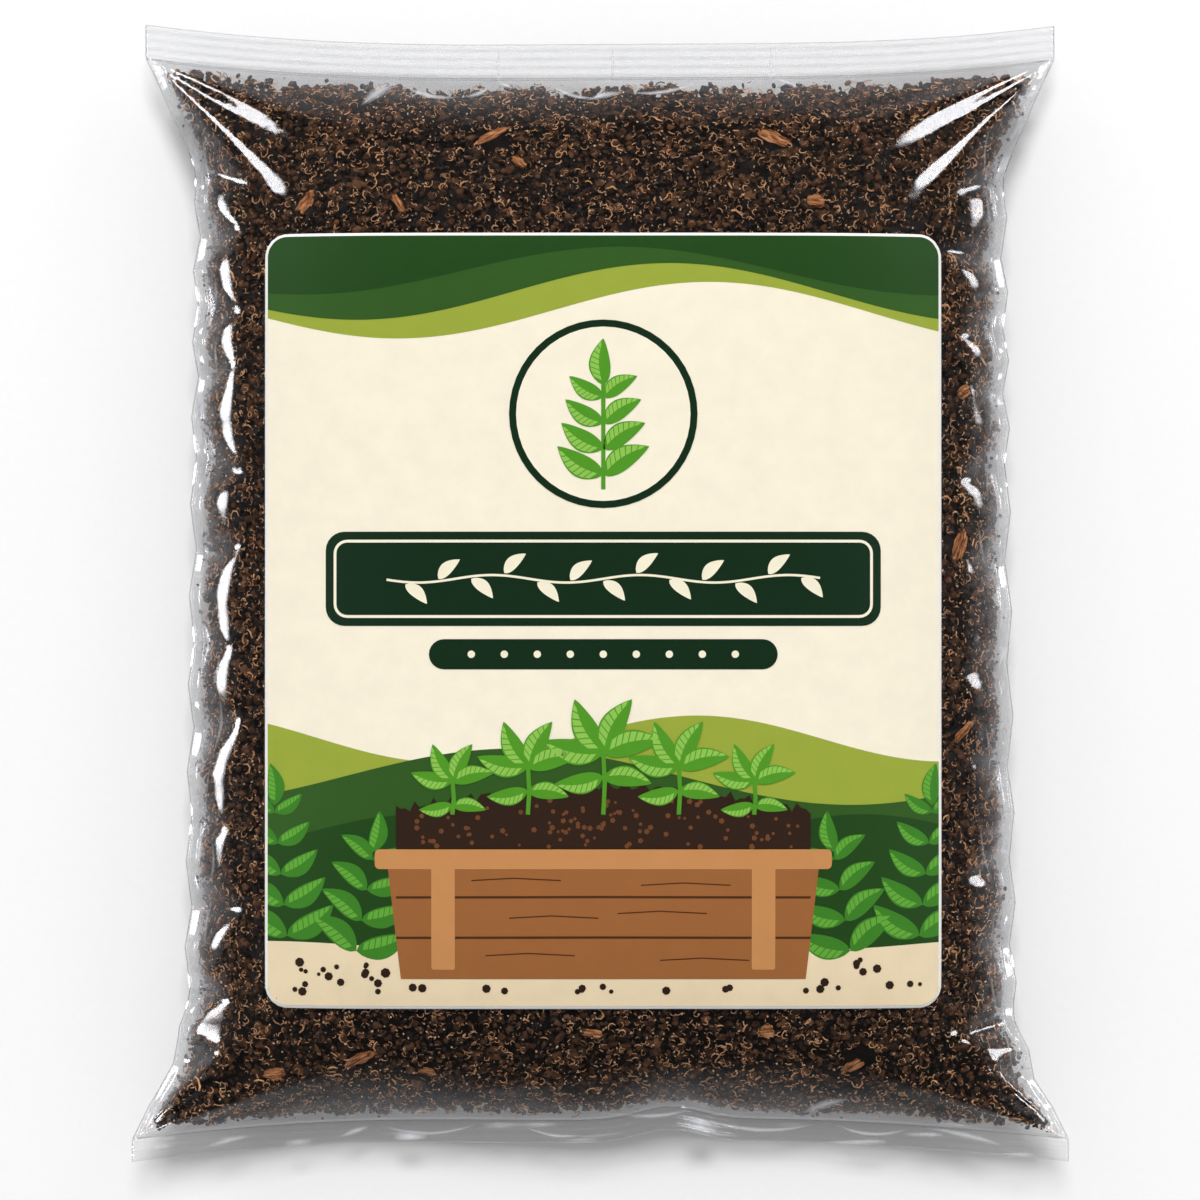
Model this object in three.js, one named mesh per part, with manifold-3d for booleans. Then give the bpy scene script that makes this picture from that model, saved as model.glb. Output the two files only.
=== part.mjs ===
// A clear plastic pillow bag full of loam soil, lying on its back with its paper label up.
// The bag is a lay-flat film tube, heat sealed across both ends. The soil holds loose chips of bark.
// Millimetres. +Z is up, +Y runs to the top seal, +X to the right of the label, and the origin is
// under the middle of the bag, on the surface that it lies on.

import * as THREE from "three";
import { mergeVertices } from "three/addons/utils/BufferGeometryUtils.js";
import Module from "manifold-3d";

// Film tube
const BAG_LENGTH = 247; // over both seals, corner to corner
const TOP_SEAL_WIDTH = 197.6;
const BOTTOM_SEAL_WIDTH = 203.4;
const FILM_THICKNESS = 0.1;
const SIDE_DRAW_IN = 11; // how far the filling draws each side in from the seals' corners
const EAR_LENGTH = 30; // from a seal to where the sides run straight
const SIDE_MARGIN = 2.4; // film beside the soil, where front and back close on each other
const MARGIN_RISE = 1.6; // height of the front over the side fold at the margin's inner edge

// Form of the filled bag
const FRONT_HEIGHT = 26; // side fold to the top of the front
const SIDE_FOLD_HEIGHT = 16; // resting surface to the side folds
const SEAL_HEIGHT = 12.5; // resting surface to the seals
const END_SLOPE = 70; // length over which the front rises from a seal
const REST_PRESS = 1.15; // how much deeper the back would hang than the surface lets it

// Heat seals
const TOP_SEAL_DEPTH = 7.4;
const TOP_SEAL_RIBS = 4;
const TOP_SEAL_DIP = 4.2; // how far the middle of the edge lies inside its corners
const TOP_WAVE_HEIGHT = 1.8;
const TOP_WAVE_LENGTH = 130;
const BOTTOM_SEAL_DEPTH = 5;
const BOTTOM_SEAL_RIBS = 3;
const BOTTOM_SEAL_DIP = 4.1;
const BOTTOM_WAVE_HEIGHT = 2.4;
const BOTTOM_WAVE_LENGTH = 95;
const RIB_HEIGHT = 0.5;
const PINCH_PLACE = 15; // the small fold in the bottom seal, right of the middle
const PINCH_WIDTH = 9;
const PINCH_RISE = 3.2;
const DIP_FADE = 60; // length over which the rows straighten again inside the bag

// Crimps in the side folds: place from the bottom seal (0) to the top seal (1), and share of CRIMP_REACH
const LEFT_CRIMPS = [
  [0.07, 1.08], [0.14, 0.83], [0.215, 1.25], [0.3, 0.75], [0.38, 1.08], [0.46, 0.75],
  [0.545, 1], [0.63, 1.17], [0.705, 0.75], [0.77, 0.92], [0.835, 0.83], [0.9, 1.17],
];
const RIGHT_CRIMPS = [
  [0.055, 0.83], [0.11, 1.42], [0.18, 0.75], [0.26, 1.08], [0.345, 0.75], [0.44, 1.08],
  [0.535, 0.83], [0.625, 1], [0.69, 0.67], [0.75, 0.92], [0.815, 1.42], [0.89, 1],
];
const CRIMP_REACH = 12; // from the side fold in towards the label
const CRIMP_DEPTH = 3;
const CRIMP_NOTCH = 1.3; // how far a crimp draws the side fold in
const CRIMP_SWAY_HEIGHT = 1.4; // how far the side fold wanders up and down at the crimps
const CRIMP_LIMIT = 0.58; // most of the local height that a crimp takes

// Folds that fan out from the four corners of the filling
const FAN_HEIGHT = 1;
const FAN_REACH = 46;
const FAN_ANGLES = { first: 14, pitch: 34 }; // degrees from the seal line

// Vent holes, through the back only
const VENT_DIAMETER = 1.6;
const VENT_SPACING = { x: 84, y: 110 };

// Soil
const SOIL_CLEARANCE = 0.4; // soil to film
const FOLD_CLEARANCE = 0.9; // inside of a fold or seal line to its outside
const SOIL_END_GAP = 0.4; // past the first row inside a seal line
const SOIL_TOP_SCATTER_LENGTH = 2.8; // how unevenly the soil's edges lie
const SOIL_BOTTOM_SCATTER_LENGTH = 1.6;
const SOIL_SIDE_SCATTER_WIDTH = 1.6;
const SOIL_LUMP_HEIGHT = 0.9; // from the hollows between the lumps in its faces to their tops
const SOIL_EDGE_STEPS = 18;
const SOIL_CORNER = 0.03; // share of the length at each end that belongs to the end's own edge

// Paper label
const LABEL_WIDTH = 144.4;
const LABEL_HEIGHT = 165;
const LABEL_CORNER = 4.8;
const LABEL_THICKNESS = 0.2;
const LABEL_GAP = 0.3; // its glue line
const LABEL_PLACE = { x: 0.6, y: -6 };

// Bark chips: place across and along from the middle of the filling, in halves of it, then size
const CHIP_THICKNESS = 2;
const CHIP_BEVEL = 0.35;
const CHIP_SINK = 0.25; // below the face of the soil
const CHIP_CLEARANCE = 0.4;
const CHIPS = [
  { across: -0.253, along: 0.843, length: 10, width: 2.6, turn: 30 },
  { across: -0.195, along: 0.792, length: 5.5, width: 2.4, turn: -40 },
  { across: 0.408, along: 0.842, length: 10.8, width: 3.5, turn: -29 },
  { across: -0.714, along: 0.717, length: 8, width: 3.6, turn: 60 },
  { across: -0.488, along: 0.717, length: 6, width: 2.2, turn: -55 },
  { across: 0.521, along: 0.721, length: 4.4, width: 4, turn: 10 },
  { across: 0.875, along: 0.379, length: 4.4, width: 3.5, turn: 35 },
  { across: 0.862, along: 0.097, length: 8, width: 4, turn: 70 },
  { across: 0.864, along: -0.244, length: 9, width: 2.4, turn: 38 },
  { across: -0.552, along: -0.845, length: 9, width: 3, turn: 33 },
  { across: -0.74, along: -0.87, length: 6, width: 3.4, turn: 5 },
  { across: -0.017, along: -0.791, length: 5.5, width: 2.2, turn: -12 },
  { across: 0.595, along: -0.845, length: 11, width: 3.4, turn: 38 },
  { across: -0.394, along: -0.865, length: 4.2, width: 2.6, turn: -20 },
  { across: 0.39, along: -0.788, length: 4.2, width: 3.8, turn: 0 },
];

// Mesh of the sheets
const COLUMNS_PER_HALF = 8; // beyond the margin, closer together towards the side
const COLUMN_CROWDING = 1.8;
const END_ROW = 2.2; // first row inside a seal line
const SECOND_ROW = 7;

// Worked out from the above
const FILLED_LENGTH = BAG_LENGTH - TOP_SEAL_DEPTH - BOTTOM_SEAL_DEPTH;
const BOTTOM_SEAL_LINE = BOTTOM_SEAL_DEPTH - BAG_LENGTH / 2;
const FILLED_MIDDLE = BOTTOM_SEAL_LINE + FILLED_LENGTH / 2;

const wasm = await Module();
wasm.setup();

const clamp = THREE.MathUtils.clamp;
const lerp = THREE.MathUtils.lerp;
const radians = THREE.MathUtils.degToRad;

// A repeatable number from 0 to 1 for each pair of whole numbers.
function scatter(index, salt) {
  const value = Math.sin(index * 12.9898 + salt * 78.233) * 43758.5453;
  return value - Math.floor(value);
}

// 0 at a seal line, 1 where the sides run straight.
function earEase(distance) {
  return 1 - (1 - clamp(distance / EAR_LENGTH, 0, 1)) ** 1.4;
}

function sealDistance(along) {
  return Math.min(along, 1 - along) * FILLED_LENGTH;
}

function halfWidth(along) {
  const flat = lerp(BOTTOM_SEAL_WIDTH, TOP_SEAL_WIDTH, clamp(along, 0, 1)) / 2;
  return flat - SIDE_DRAW_IN * earEase(sealDistance(along));
}

// How full the bag is at a place: 0 at its folds and seal lines, 1 over its flat middle.
function fullness(inward, half, distance) {
  if (inward <= 0 || distance <= 0) return 0;
  const margin = MARGIN_RISE / FRONT_HEIGHT;
  const past = clamp((inward - SIDE_MARGIN) / (half - SIDE_MARGIN), 0, 1);
  const wedge = margin * Math.min(1, inward / SIDE_MARGIN);
  const across = wedge + (1 - margin) * (1 - (1 - past) ** 5) ** 0.75;
  const lengthwise = (1 - (1 - Math.min(1, distance / END_SLOPE)) ** 3.5) ** 0.8;
  return (across ** -1.5 + lengthwise ** -1.5 - 1) ** (-1 / 1.5);
}

// Height of the seals' waving line over the resting surface.
function sealHeight(x, top) {
  if (top) return SEAL_HEIGHT + TOP_WAVE_HEIGHT * Math.sin((2 * Math.PI * x) / TOP_WAVE_LENGTH + 0.7);
  const wave = BOTTOM_WAVE_HEIGHT * Math.cos((2 * Math.PI * x) / BOTTOM_WAVE_LENGTH + 0.4);
  return SEAL_HEIGHT + wave + PINCH_RISE * pinch(x);
}

function pinch(x) {
  return Math.exp(-(((x - PINCH_PLACE) / PINCH_WIDTH) ** 2));
}

// The seals bow in towards the bag between their corners.
function sealBow(x, half, top) {
  const bow = 1 - Math.abs(x / half) ** 3;
  if (top) return -TOP_SEAL_DIP * bow;
  return BOTTOM_SEAL_DIP * bow + PINCH_RISE * pinch(x);
}

// Ridges and valleys that run out from the nearest corner of the filling.
function cornerFan(inward, distance) {
  const radius = Math.hypot(inward, distance) / FAN_REACH;
  if (radius >= 1 || radius === 0) return 0;
  const angle = THREE.MathUtils.radToDeg(Math.atan2(distance, inward));
  const turn = (angle - FAN_ANGLES.first) / FAN_ANGLES.pitch;
  if (turn < 0 || turn > 2) return 0;
  return FAN_HEIGHT * Math.sin(2 * Math.PI * turn) * Math.sin(Math.PI * radius ** 0.7);
}

// How deep a crimp is at a distance from its fold, deepest at the margin's inner edge.
function crimpDepth(station, inward) {
  if (!station.valley || inward >= station.reach) return 0;
  const fall = (station.reach - inward) / (station.reach - SIDE_MARGIN);
  return CRIMP_DEPTH * Math.min(inward / SIDE_MARGIN, fall);
}

// The rows of one side: the seal line, two rows just inside it, and ridges and valleys in turn.
function sideStations(crimps) {
  const ends = [0, END_ROW / FILLED_LENGTH, SECOND_ROW / FILLED_LENGTH];
  const stations = [];
  crimps.forEach(([along, share], i) => {
    const next = i + 1 < crimps.length ? crimps[i + 1][0] : 1;
    const sway = i % 2 ? CRIMP_SWAY_HEIGHT : -CRIMP_SWAY_HEIGHT;
    stations.push({ along, reach: share * CRIMP_REACH, valley: true, sway });
    stations.push({ along: (along + next) / 2 });
  });
  const bottom = ends.map((along) => ({ along }));
  const top = ends.map((along) => ({ along: 1 - along })).reverse();
  return [...bottom, ...stations, ...top];
}

// The columns of the sheet, from the left fold to the right one, as shares of the margin and of the rest.
function columns() {
  const steps = [
    { margin: 0, rest: 0 },
    { margin: 0.5, rest: 0 },
    { margin: 1, rest: 0 },
  ];
  for (let i = 1; i <= COLUMNS_PER_HALF; i++) {
    steps.push({ margin: 1, rest: (i / COLUMNS_PER_HALF) ** COLUMN_CROWDING });
  }
  const left = steps.map((step) => ({ side: -1, ...step }));
  const right = steps.slice(0, -1).map((step) => ({ side: 1, ...step }));
  return [...left, ...right.reverse()];
}

// How far a column lies inside its side fold.
function inwardOf(column, half) {
  return SIDE_MARGIN * column.margin + (half - SIDE_MARGIN) * column.rest;
}

// One point of the filled part, on the front (face 1) or the back (face -1).
function filledPoint(face, column, left, right) {
  const station = column.side < 0 ? left : right;
  const half = halfWidth(station.along);
  const inward = inwardOf(column, half);
  const across = (1 + (column.side * (half - inward)) / half) / 2;
  const along = lerp(left.along, right.along, across);
  const distance = sealDistance(along);
  const notch = station.valley ? CRIMP_NOTCH * Math.max(0, 1 - inward / station.reach) : 0;
  const x = column.side * (half - inward - notch);

  const top = along > 0.5;
  const fade = 1 - clamp(distance / DIP_FADE, 0, 1);
  const y = BOTTOM_SEAL_LINE + along * FILLED_LENGTH + sealBow(x, half, top) * fade ** 1.5;

  const full = fullness(inward, half, distance);
  const sway = station.valley ? station.sway * Math.max(0, 1 - inward / station.reach) : 0;
  const edge = lerp(sealHeight(x, top), SIDE_FOLD_HEIGHT, earEase(distance)) + sway * earEase(distance);
  const fan = face > 0 ? cornerFan(inward, distance) : 0;
  const rise = face > 0 ? FRONT_HEIGHT * full : REST_PRESS * SIDE_FOLD_HEIGHT * full;
  const shaped = rise + clamp(fan, -0.3 * rise, 0.3 * rise);
  const crimped = shaped - Math.min(crimpDepth(station, inward), CRIMP_LIMIT * shaped);
  return new THREE.Vector3(x, y, Math.max(0, edge + face * crimped));
}

// One point of a seal band: two films welded into one ribbed strip.
function sealPoint(face, column, top, depth, rib) {
  const half = halfWidth(top ? 1 : 0);
  const x = column.side * (half - inwardOf(column, half));
  const line = top ? BOTTOM_SEAL_LINE + FILLED_LENGTH : BOTTOM_SEAL_LINE;
  const y = line + (top ? depth : -depth) + sealBow(x, half, top);
  const z = sealHeight(x, top) + rib + face * FILM_THICKNESS;
  return new THREE.Vector3(x, y, z);
}

// The rows of a seal band from its line outwards, up and down over the ribs.
function sealRows(face, top) {
  const ribs = top ? TOP_SEAL_RIBS : BOTTOM_SEAL_RIBS;
  const depth = top ? TOP_SEAL_DEPTH : BOTTOM_SEAL_DEPTH;
  const steps = 2 * ribs;
  return Array.from({ length: steps + 1 }, (_, i) => {
    const rib = i % 2 ? RIB_HEIGHT : 0;
    return columns().map((column) => sealPoint(face, column, top, (depth * i) / steps, rib));
  });
}

// The outside of one face of the bag from seal line to seal line.
function filledSheet(face) {
  const left = sideStations(LEFT_CRIMPS);
  const right = sideStations(RIGHT_CRIMPS);
  const rows = left.map((station, i) => columns().map((c) => filledPoint(face, c, station, right[i])));
  return [sealRows(face, false)[0], ...rows.slice(1, -1), sealRows(face, true)[0]];
}

// A filled sheet with its seal bands.
function wholeSheet(filled, face) {
  return [...sealRows(face, false).slice(1).reverse(), ...filled, ...sealRows(face, true).slice(1)];
}

// The closed mesh between two sheets of equal rows and columns.
function closedMesh(top, bottom) {
  const points = [];
  const quad = (a, b, c, d) => points.push(a, b, c, a, c, d);
  const lastRow = top.length - 1;
  const lastColumn = top[0].length - 1;
  for (let r = 0; r < lastRow; r++) {
    for (let c = 0; c < lastColumn; c++) {
      quad(top[r][c], top[r][c + 1], top[r + 1][c + 1], top[r + 1][c]);
      quad(bottom[r][c], bottom[r + 1][c], bottom[r + 1][c + 1], bottom[r][c + 1]);
    }
    quad(top[r][0], top[r + 1][0], bottom[r + 1][0], bottom[r][0]);
    quad(top[r][lastColumn], bottom[r][lastColumn], bottom[r + 1][lastColumn], top[r + 1][lastColumn]);
  }
  for (let c = 0; c < lastColumn; c++) {
    quad(top[0][c], bottom[0][c], bottom[0][c + 1], top[0][c + 1]);
    quad(top[lastRow][c], top[lastRow][c + 1], bottom[lastRow][c + 1], bottom[lastRow][c]);
  }
  return new THREE.BufferGeometry().setFromPoints(points);
}

// A closed mesh as a solid that can be cut and joined.
function solid(geometry) {
  const bare = new THREE.BufferGeometry();
  bare.setAttribute("position", geometry.getAttribute("position").clone());
  if (geometry.index) bare.setIndex(geometry.index.clone());
  const merged = mergeVertices(bare, 1e-4);
  const triangles = [];
  for (let i = 0; i < merged.index.count; i += 3) {
    const [a, b, c] = [0, 1, 2].map((k) => merged.index.getX(i + k));
    if (a !== b && b !== c && c !== a) triangles.push(a, b, c);
  }
  const mesh = new wasm.Mesh({
    numProp: 3,
    vertProperties: new Float32Array(merged.getAttribute("position").array),
    triVerts: new Uint32Array(triangles),
  });
  return new wasm.Manifold(mesh);
}

function geometryOf(manifold) {
  const mesh = manifold.getMesh();
  const geometry = new THREE.BufferGeometry();
  geometry.setAttribute("position", new THREE.BufferAttribute(mesh.vertProperties.slice(), 3));
  geometry.setIndex(new THREE.BufferAttribute(mesh.triVerts.slice(), 1));
  return geometry;
}

// A sheet moved square to itself: out of the bag for a positive distance, into it for a negative one.
// Away from its edges it also sinks in by uneven amounts, up to the lump height.
function offsetSheet(sheet, face, distance, lumpHeight = 0) {
  const width = sheet[0].length;
  const geometry = new THREE.BufferGeometry().setFromPoints(sheet.flat());
  const index = [];
  for (let r = 0; r < sheet.length - 1; r++) {
    for (let c = 0; c < width - 1; c++) {
      const corner = r * width + c;
      index.push(corner, corner + 1, corner + width + 1, corner, corner + width + 1, corner + width);
    }
  }
  geometry.setIndex(index);
  geometry.computeVertexNormals();
  const normals = geometry.getAttribute("normal");
  return sheet.map((row, r) =>
    row.map((point, c) => {
      const normal = new THREE.Vector3().fromBufferAttribute(normals, r * width + c);
      const inner = r > 1 && r < sheet.length - 2 && c > 2 && c < width - 3;
      const sunk = inner ? lumpHeight * scatter(r * width + c, 6) : 0;
      return point.clone().addScaledVector(normal, face * (distance - sunk));
    }),
  );
}

// The room inside the film, closed on itself a little way inside the folds and the seal lines.
function cavity(front, back) {
  const top = offsetSheet(front, 1, -FILM_THICKNESS);
  const bottom = offsetSheet(back, -1, -FILM_THICKNESS);
  const lastRow = front.length - 1;
  const lastColumn = front[0].length - 1;
  const middle = (r, c) => front[r][c].clone().lerp(back[r][c], 0.5);
  for (let r = 0; r <= lastRow; r++) {
    for (let c = 0; c <= lastColumn; c++) {
      const nextRow = clamp(r, 1, lastRow - 1);
      const nextColumn = clamp(c, 1, lastColumn - 1);
      if (nextRow === r && nextColumn === c) continue;
      const fold = middle(r, c);
      const inner = middle(nextRow, nextColumn);
      top[r][c] = fold.lerp(inner, FOLD_CLEARANCE / fold.distanceTo(inner));
      bottom[r][c] = top[r][c].clone();
    }
  }
  return closedMesh(top, bottom);
}

function vents() {
  return [-1, 1].flatMap((right) =>
    [-1, 1].map((up) => {
      const hole = new THREE.CylinderGeometry(VENT_DIAMETER / 2, VENT_DIAMETER / 2, 4 * FILM_THICKNESS, 8);
      hole.rotateX(Math.PI / 2);
      hole.translate((right * VENT_SPACING.x) / 2, (up * VENT_SPACING.y) / 2, 0);
      return solid(hole);
    }),
  );
}

function filmBag(front, back) {
  const outside = solid(closedMesh(wholeSheet(front, 1), wholeSheet(back, -1)));
  const hollow = outside.subtract(solid(cavity(front, back)));
  return vents().reduce((bag, hole) => bag.subtract(hole), hollow);
}

// A point of the soil's plan outline: a share across, a share along, and how far short it falls.
function soilEdgePoint(across, along, short) {
  const top = along > 0.5;
  const half = halfWidth(along);
  const x = across * (half - SIDE_MARGIN - short.side);
  const line = BOTTOM_SEAL_LINE + along * FILLED_LENGTH + (top ? -short.end : short.end);
  const fade = 1 - clamp(sealDistance(along) / DIP_FADE, 0, 1);
  return new THREE.Vector2(x, line + sealBow(x, half, top) * fade ** 1.5);
}

// The uneven edge of the soil seen from above.
function soilOutline() {
  const ends = (along, scatterEnd, salt) =>
    Array.from({ length: SOIL_EDGE_STEPS + 1 }, (_, i) => {
      const end = END_ROW + SOIL_END_GAP + scatterEnd * scatter(i, salt);
      return soilEdgePoint((2 * i) / SOIL_EDGE_STEPS - 1, along, { side: 0, end });
    });
  const sides = (across, salt) =>
    Array.from({ length: SOIL_EDGE_STEPS - 1 }, (_, i) => {
      const along = lerp(SOIL_CORNER, 1 - SOIL_CORNER, (i + 1) / SOIL_EDGE_STEPS);
      return soilEdgePoint(across, along, { side: SOIL_SIDE_SCATTER_WIDTH * scatter(i, salt), end: 0 });
    });
  const bottom = ends(0, SOIL_BOTTOM_SCATTER_LENGTH, 1);
  const top = ends(1, SOIL_TOP_SCATTER_LENGTH, 2).reverse();
  return new THREE.Shape([...bottom, ...sides(1, 3), ...top, ...sides(-1, 4).reverse()]);
}

// The faces of the soil follow the film at a clearance, with shallow lumps.
function soilSolid(front, back) {
  const inset = (sheet, face) =>
    offsetSheet(sheet, face, -FILM_THICKNESS - SOIL_CLEARANCE, SOIL_LUMP_HEIGHT)
      .slice(1, -1)
      .map((row) => row.slice(2, -2));
  const height = 2 * (FRONT_HEIGHT + SIDE_FOLD_HEIGHT);
  const cutter = new THREE.ExtrudeGeometry(soilOutline(), { depth: height, bevelEnabled: false });
  return solid(closedMesh(inset(front, 1), inset(back, -1))).intersect(solid(cutter));
}

// The plan outline of a chip, a worn oblong with uneven sides.
function chipOutline(chip, index, grow) {
  const corners = 8;
  const points = Array.from({ length: corners }, (_, i) => {
    const turn = (2 * Math.PI * i) / corners;
    const uneven = 1 - 0.22 * scatter(index * corners + i, 5);
    const x = (chip.length / 2) * Math.cos(turn) * uneven + grow * Math.cos(turn);
    const y = (chip.width / 2) * Math.sin(turn) * uneven + grow * Math.sin(turn);
    return new THREE.Vector2(x, y);
  });
  return new THREE.Shape(points);
}

// A chip lying in the face of the soil, and the pocket that it has there.
function chipAndPocket(chip, index, soilFace) {
  const half = halfWidth((chip.along + 1) / 2);
  const above = new THREE.Vector3(
    chip.across * half,
    FILLED_MIDDLE + (chip.along * FILLED_LENGTH) / 2,
    2 * (FRONT_HEIGHT + SIDE_FOLD_HEIGHT),
  );
  const ray = new THREE.Raycaster(above, new THREE.Vector3(0, 0, -1));
  const hit = ray.intersectObject(soilFace)[0];
  const lie = new THREE.Matrix4()
    .makeTranslation(hit.point.x, hit.point.y, hit.point.z)
    .multiply(
      new THREE.Matrix4().makeRotationFromQuaternion(
        new THREE.Quaternion().setFromUnitVectors(new THREE.Vector3(0, 0, 1), hit.face.normal),
      ),
    )
    .multiply(new THREE.Matrix4().makeRotationZ(radians(chip.turn)));

  const body = new THREE.ExtrudeGeometry(chipOutline(chip, index, -CHIP_BEVEL), {
    depth: CHIP_THICKNESS - 2 * CHIP_BEVEL,
    bevelSize: CHIP_BEVEL,
    bevelThickness: CHIP_BEVEL,
    bevelSegments: 1,
  });
  body.translate(0, 0, CHIP_BEVEL - CHIP_THICKNESS - CHIP_SINK);
  const room = new THREE.ExtrudeGeometry(chipOutline(chip, index, CHIP_CLEARANCE), {
    depth: 4 * CHIP_THICKNESS,
    bevelEnabled: false,
  });
  room.translate(0, 0, -CHIP_THICKNESS - CHIP_SINK - CHIP_CLEARANCE);
  return { body: solid(body.applyMatrix4(lie)), pocket: solid(room.applyMatrix4(lie)) };
}

function roundedRectangle(width, height, radius) {
  const shape = new THREE.Shape();
  const right = width / 2 - radius;
  const up = height / 2 - radius;
  shape.absarc(right, up, radius, 0, Math.PI / 2);
  shape.absarc(-right, up, radius, Math.PI / 2, Math.PI);
  shape.absarc(-right, -up, radius, Math.PI, 1.5 * Math.PI);
  shape.absarc(right, -up, radius, 1.5 * Math.PI, 2 * Math.PI);
  return shape;
}

// A paper rectangle pressed onto the front of the film.
function frontLabel(front) {
  const face = front.slice(1, -1).map((row) => row.slice(2, -2));
  const under = offsetSheet(face, 1, LABEL_GAP);
  const over = offsetSheet(face, 1, LABEL_GAP + LABEL_THICKNESS);
  const outline = roundedRectangle(LABEL_WIDTH, LABEL_HEIGHT, LABEL_CORNER);
  const height = 2 * (FRONT_HEIGHT + SIDE_FOLD_HEIGHT);
  const cutter = new THREE.ExtrudeGeometry(outline, { depth: height, bevelEnabled: false, curveSegments: 5 });
  cutter.translate(LABEL_PLACE.x, LABEL_PLACE.y, 0);
  return solid(closedMesh(over, under)).intersect(solid(cutter));
}

const MATERIALS = {
  film: new THREE.MeshStandardMaterial({
    name: "clear film",
    color: 0xeef0f3,
    roughness: 0.08,
    metalness: 0,
    transparent: true,
    opacity: 0.3,
  }),
  soil: new THREE.MeshStandardMaterial({ name: "loam", color: 0x2a1a10, roughness: 0.95, metalness: 0 }),
  label: new THREE.MeshStandardMaterial({ name: "label paper", color: 0xf4ecd6, roughness: 0.45, metalness: 0 }),
  bark: new THREE.MeshStandardMaterial({ name: "bark", color: 0x9c6238, roughness: 0.85, metalness: 0 }),
};

function namedMesh(name, manifold, material) {
  const mesh = new THREE.Mesh(geometryOf(manifold), material.clone());
  mesh.name = name;
  return mesh;
}

const front = filledSheet(1);
const back = filledSheet(-1);
const soilBody = soilSolid(front, back);
const soilFace = new THREE.Mesh(geometryOf(soilBody));
const chips = CHIPS.map((chip, i) => chipAndPocket(chip, i, soilFace));
const soil = chips.reduce((body, chip) => body.subtract(chip.pocket), soilBody);

const bag = new THREE.Group();
bag.name = "bag_of_loam_soil";
bag.add(namedMesh("film_bag", filmBag(front, back), MATERIALS.film));
bag.add(namedMesh("loam_soil", soil, MATERIALS.soil));
bag.add(namedMesh("front_label", frontLabel(front), MATERIALS.label));
chips.forEach((chip, i) => {
  const name = `bark_chip_${String(i + 1).padStart(2, "0")}`;
  bag.add(namedMesh(name, chip.body.intersect(soilBody), MATERIALS.bark));
});

export default bag;
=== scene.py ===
"""A clear film pillow bag of loam soil with a paper label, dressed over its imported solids."""

import math
import bmesh
import bpy
import numpy as np
from bpy.props import FloatProperty, FloatVectorProperty, IntProperty, PointerProperty
from mathutils import Matrix, Vector, noise
from mathutils.bvhtree import BVHTree


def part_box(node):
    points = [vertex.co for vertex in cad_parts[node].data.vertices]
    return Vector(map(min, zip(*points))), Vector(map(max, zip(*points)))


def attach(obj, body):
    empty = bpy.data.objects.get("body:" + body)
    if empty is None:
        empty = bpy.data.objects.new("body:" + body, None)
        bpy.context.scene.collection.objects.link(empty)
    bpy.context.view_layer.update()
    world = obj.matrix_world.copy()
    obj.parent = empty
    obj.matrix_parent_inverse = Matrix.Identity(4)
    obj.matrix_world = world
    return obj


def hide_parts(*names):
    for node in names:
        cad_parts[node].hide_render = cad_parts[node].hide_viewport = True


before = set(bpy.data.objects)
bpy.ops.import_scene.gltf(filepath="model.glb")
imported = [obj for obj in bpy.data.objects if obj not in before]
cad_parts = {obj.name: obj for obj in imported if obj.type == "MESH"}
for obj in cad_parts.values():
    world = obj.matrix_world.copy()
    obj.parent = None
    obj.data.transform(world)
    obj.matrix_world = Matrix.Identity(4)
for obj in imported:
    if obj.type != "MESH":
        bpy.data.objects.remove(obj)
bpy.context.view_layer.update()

bl_info = {
    "name": "Bag of loam soil",
    "version": (1, 0, 0),
    "blender": (4, 5, 0),
    "location": "View3D > Sidebar > Soil bag",
    "description": "Builds a clear heat-sealed bag of loam soil with its label, on a pale studio floor",
    "category": "Add Mesh",
}

MM = 0.001

# Crimps in the side folds: place from the bottom seal (0) to the top seal (1), and share of the reach
LEFT_CRIMPS = (
    (0.07, 1.08), (0.14, 0.83), (0.215, 1.25), (0.3, 0.75), (0.38, 1.08), (0.46, 0.75),
    (0.545, 1), (0.63, 1.17), (0.705, 0.75), (0.77, 0.92), (0.835, 0.83), (0.9, 1.17),
)
RIGHT_CRIMPS = (
    (0.055, 0.83), (0.11, 1.42), (0.18, 0.75), (0.26, 1.08), (0.345, 0.75), (0.44, 1.08),
    (0.535, 0.83), (0.625, 1), (0.69, 0.67), (0.75, 0.92), (0.815, 1.42), (0.89, 1),
)

# Long shallow creases in the front: middle, direction in degrees, length and height, in mm
FRONT_CREASES = (
    (-68, 84, -38, 22, 0.5), (49, 101, -40, 15, 0.45), (-15, 109, 18, 26, 0.35), (24, 92, 12, 20, 0.3),
    (-38, 106, -12, 18, 0.4), (70, 92, 52, 24, 0.55), (-62, -92, 40, 20, 0.45), (-20, -106, 6, 24, 0.35),
    (30, -110, -10, 22, 0.4), (66, -96, -36, 22, 0.5), (8, -98, -24, 14, 0.3), (-44, -112, 14, 16, 0.35),
)


def length_property(name, description, millimetres):
    """A length, given in millimetres."""
    size = millimetres * MM
    return FloatProperty(name=name, description=description, default=size, unit="LENGTH", subtype="DISTANCE")


def power_property(name, description, watts):
    """The power of a lamp."""
    return FloatProperty(name=name, description=description, default=watts, unit="POWER")


def number_property(name, description, value):
    """A share, a density or a strength."""
    return FloatProperty(name=name, description=description, default=value)


def colour_property(name, description, code):
    """A colour, given as an sRGB hex code."""
    colour = linear(code)
    return FloatVectorProperty(name=name, description=description, default=colour, subtype="COLOR", size=3)


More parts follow.
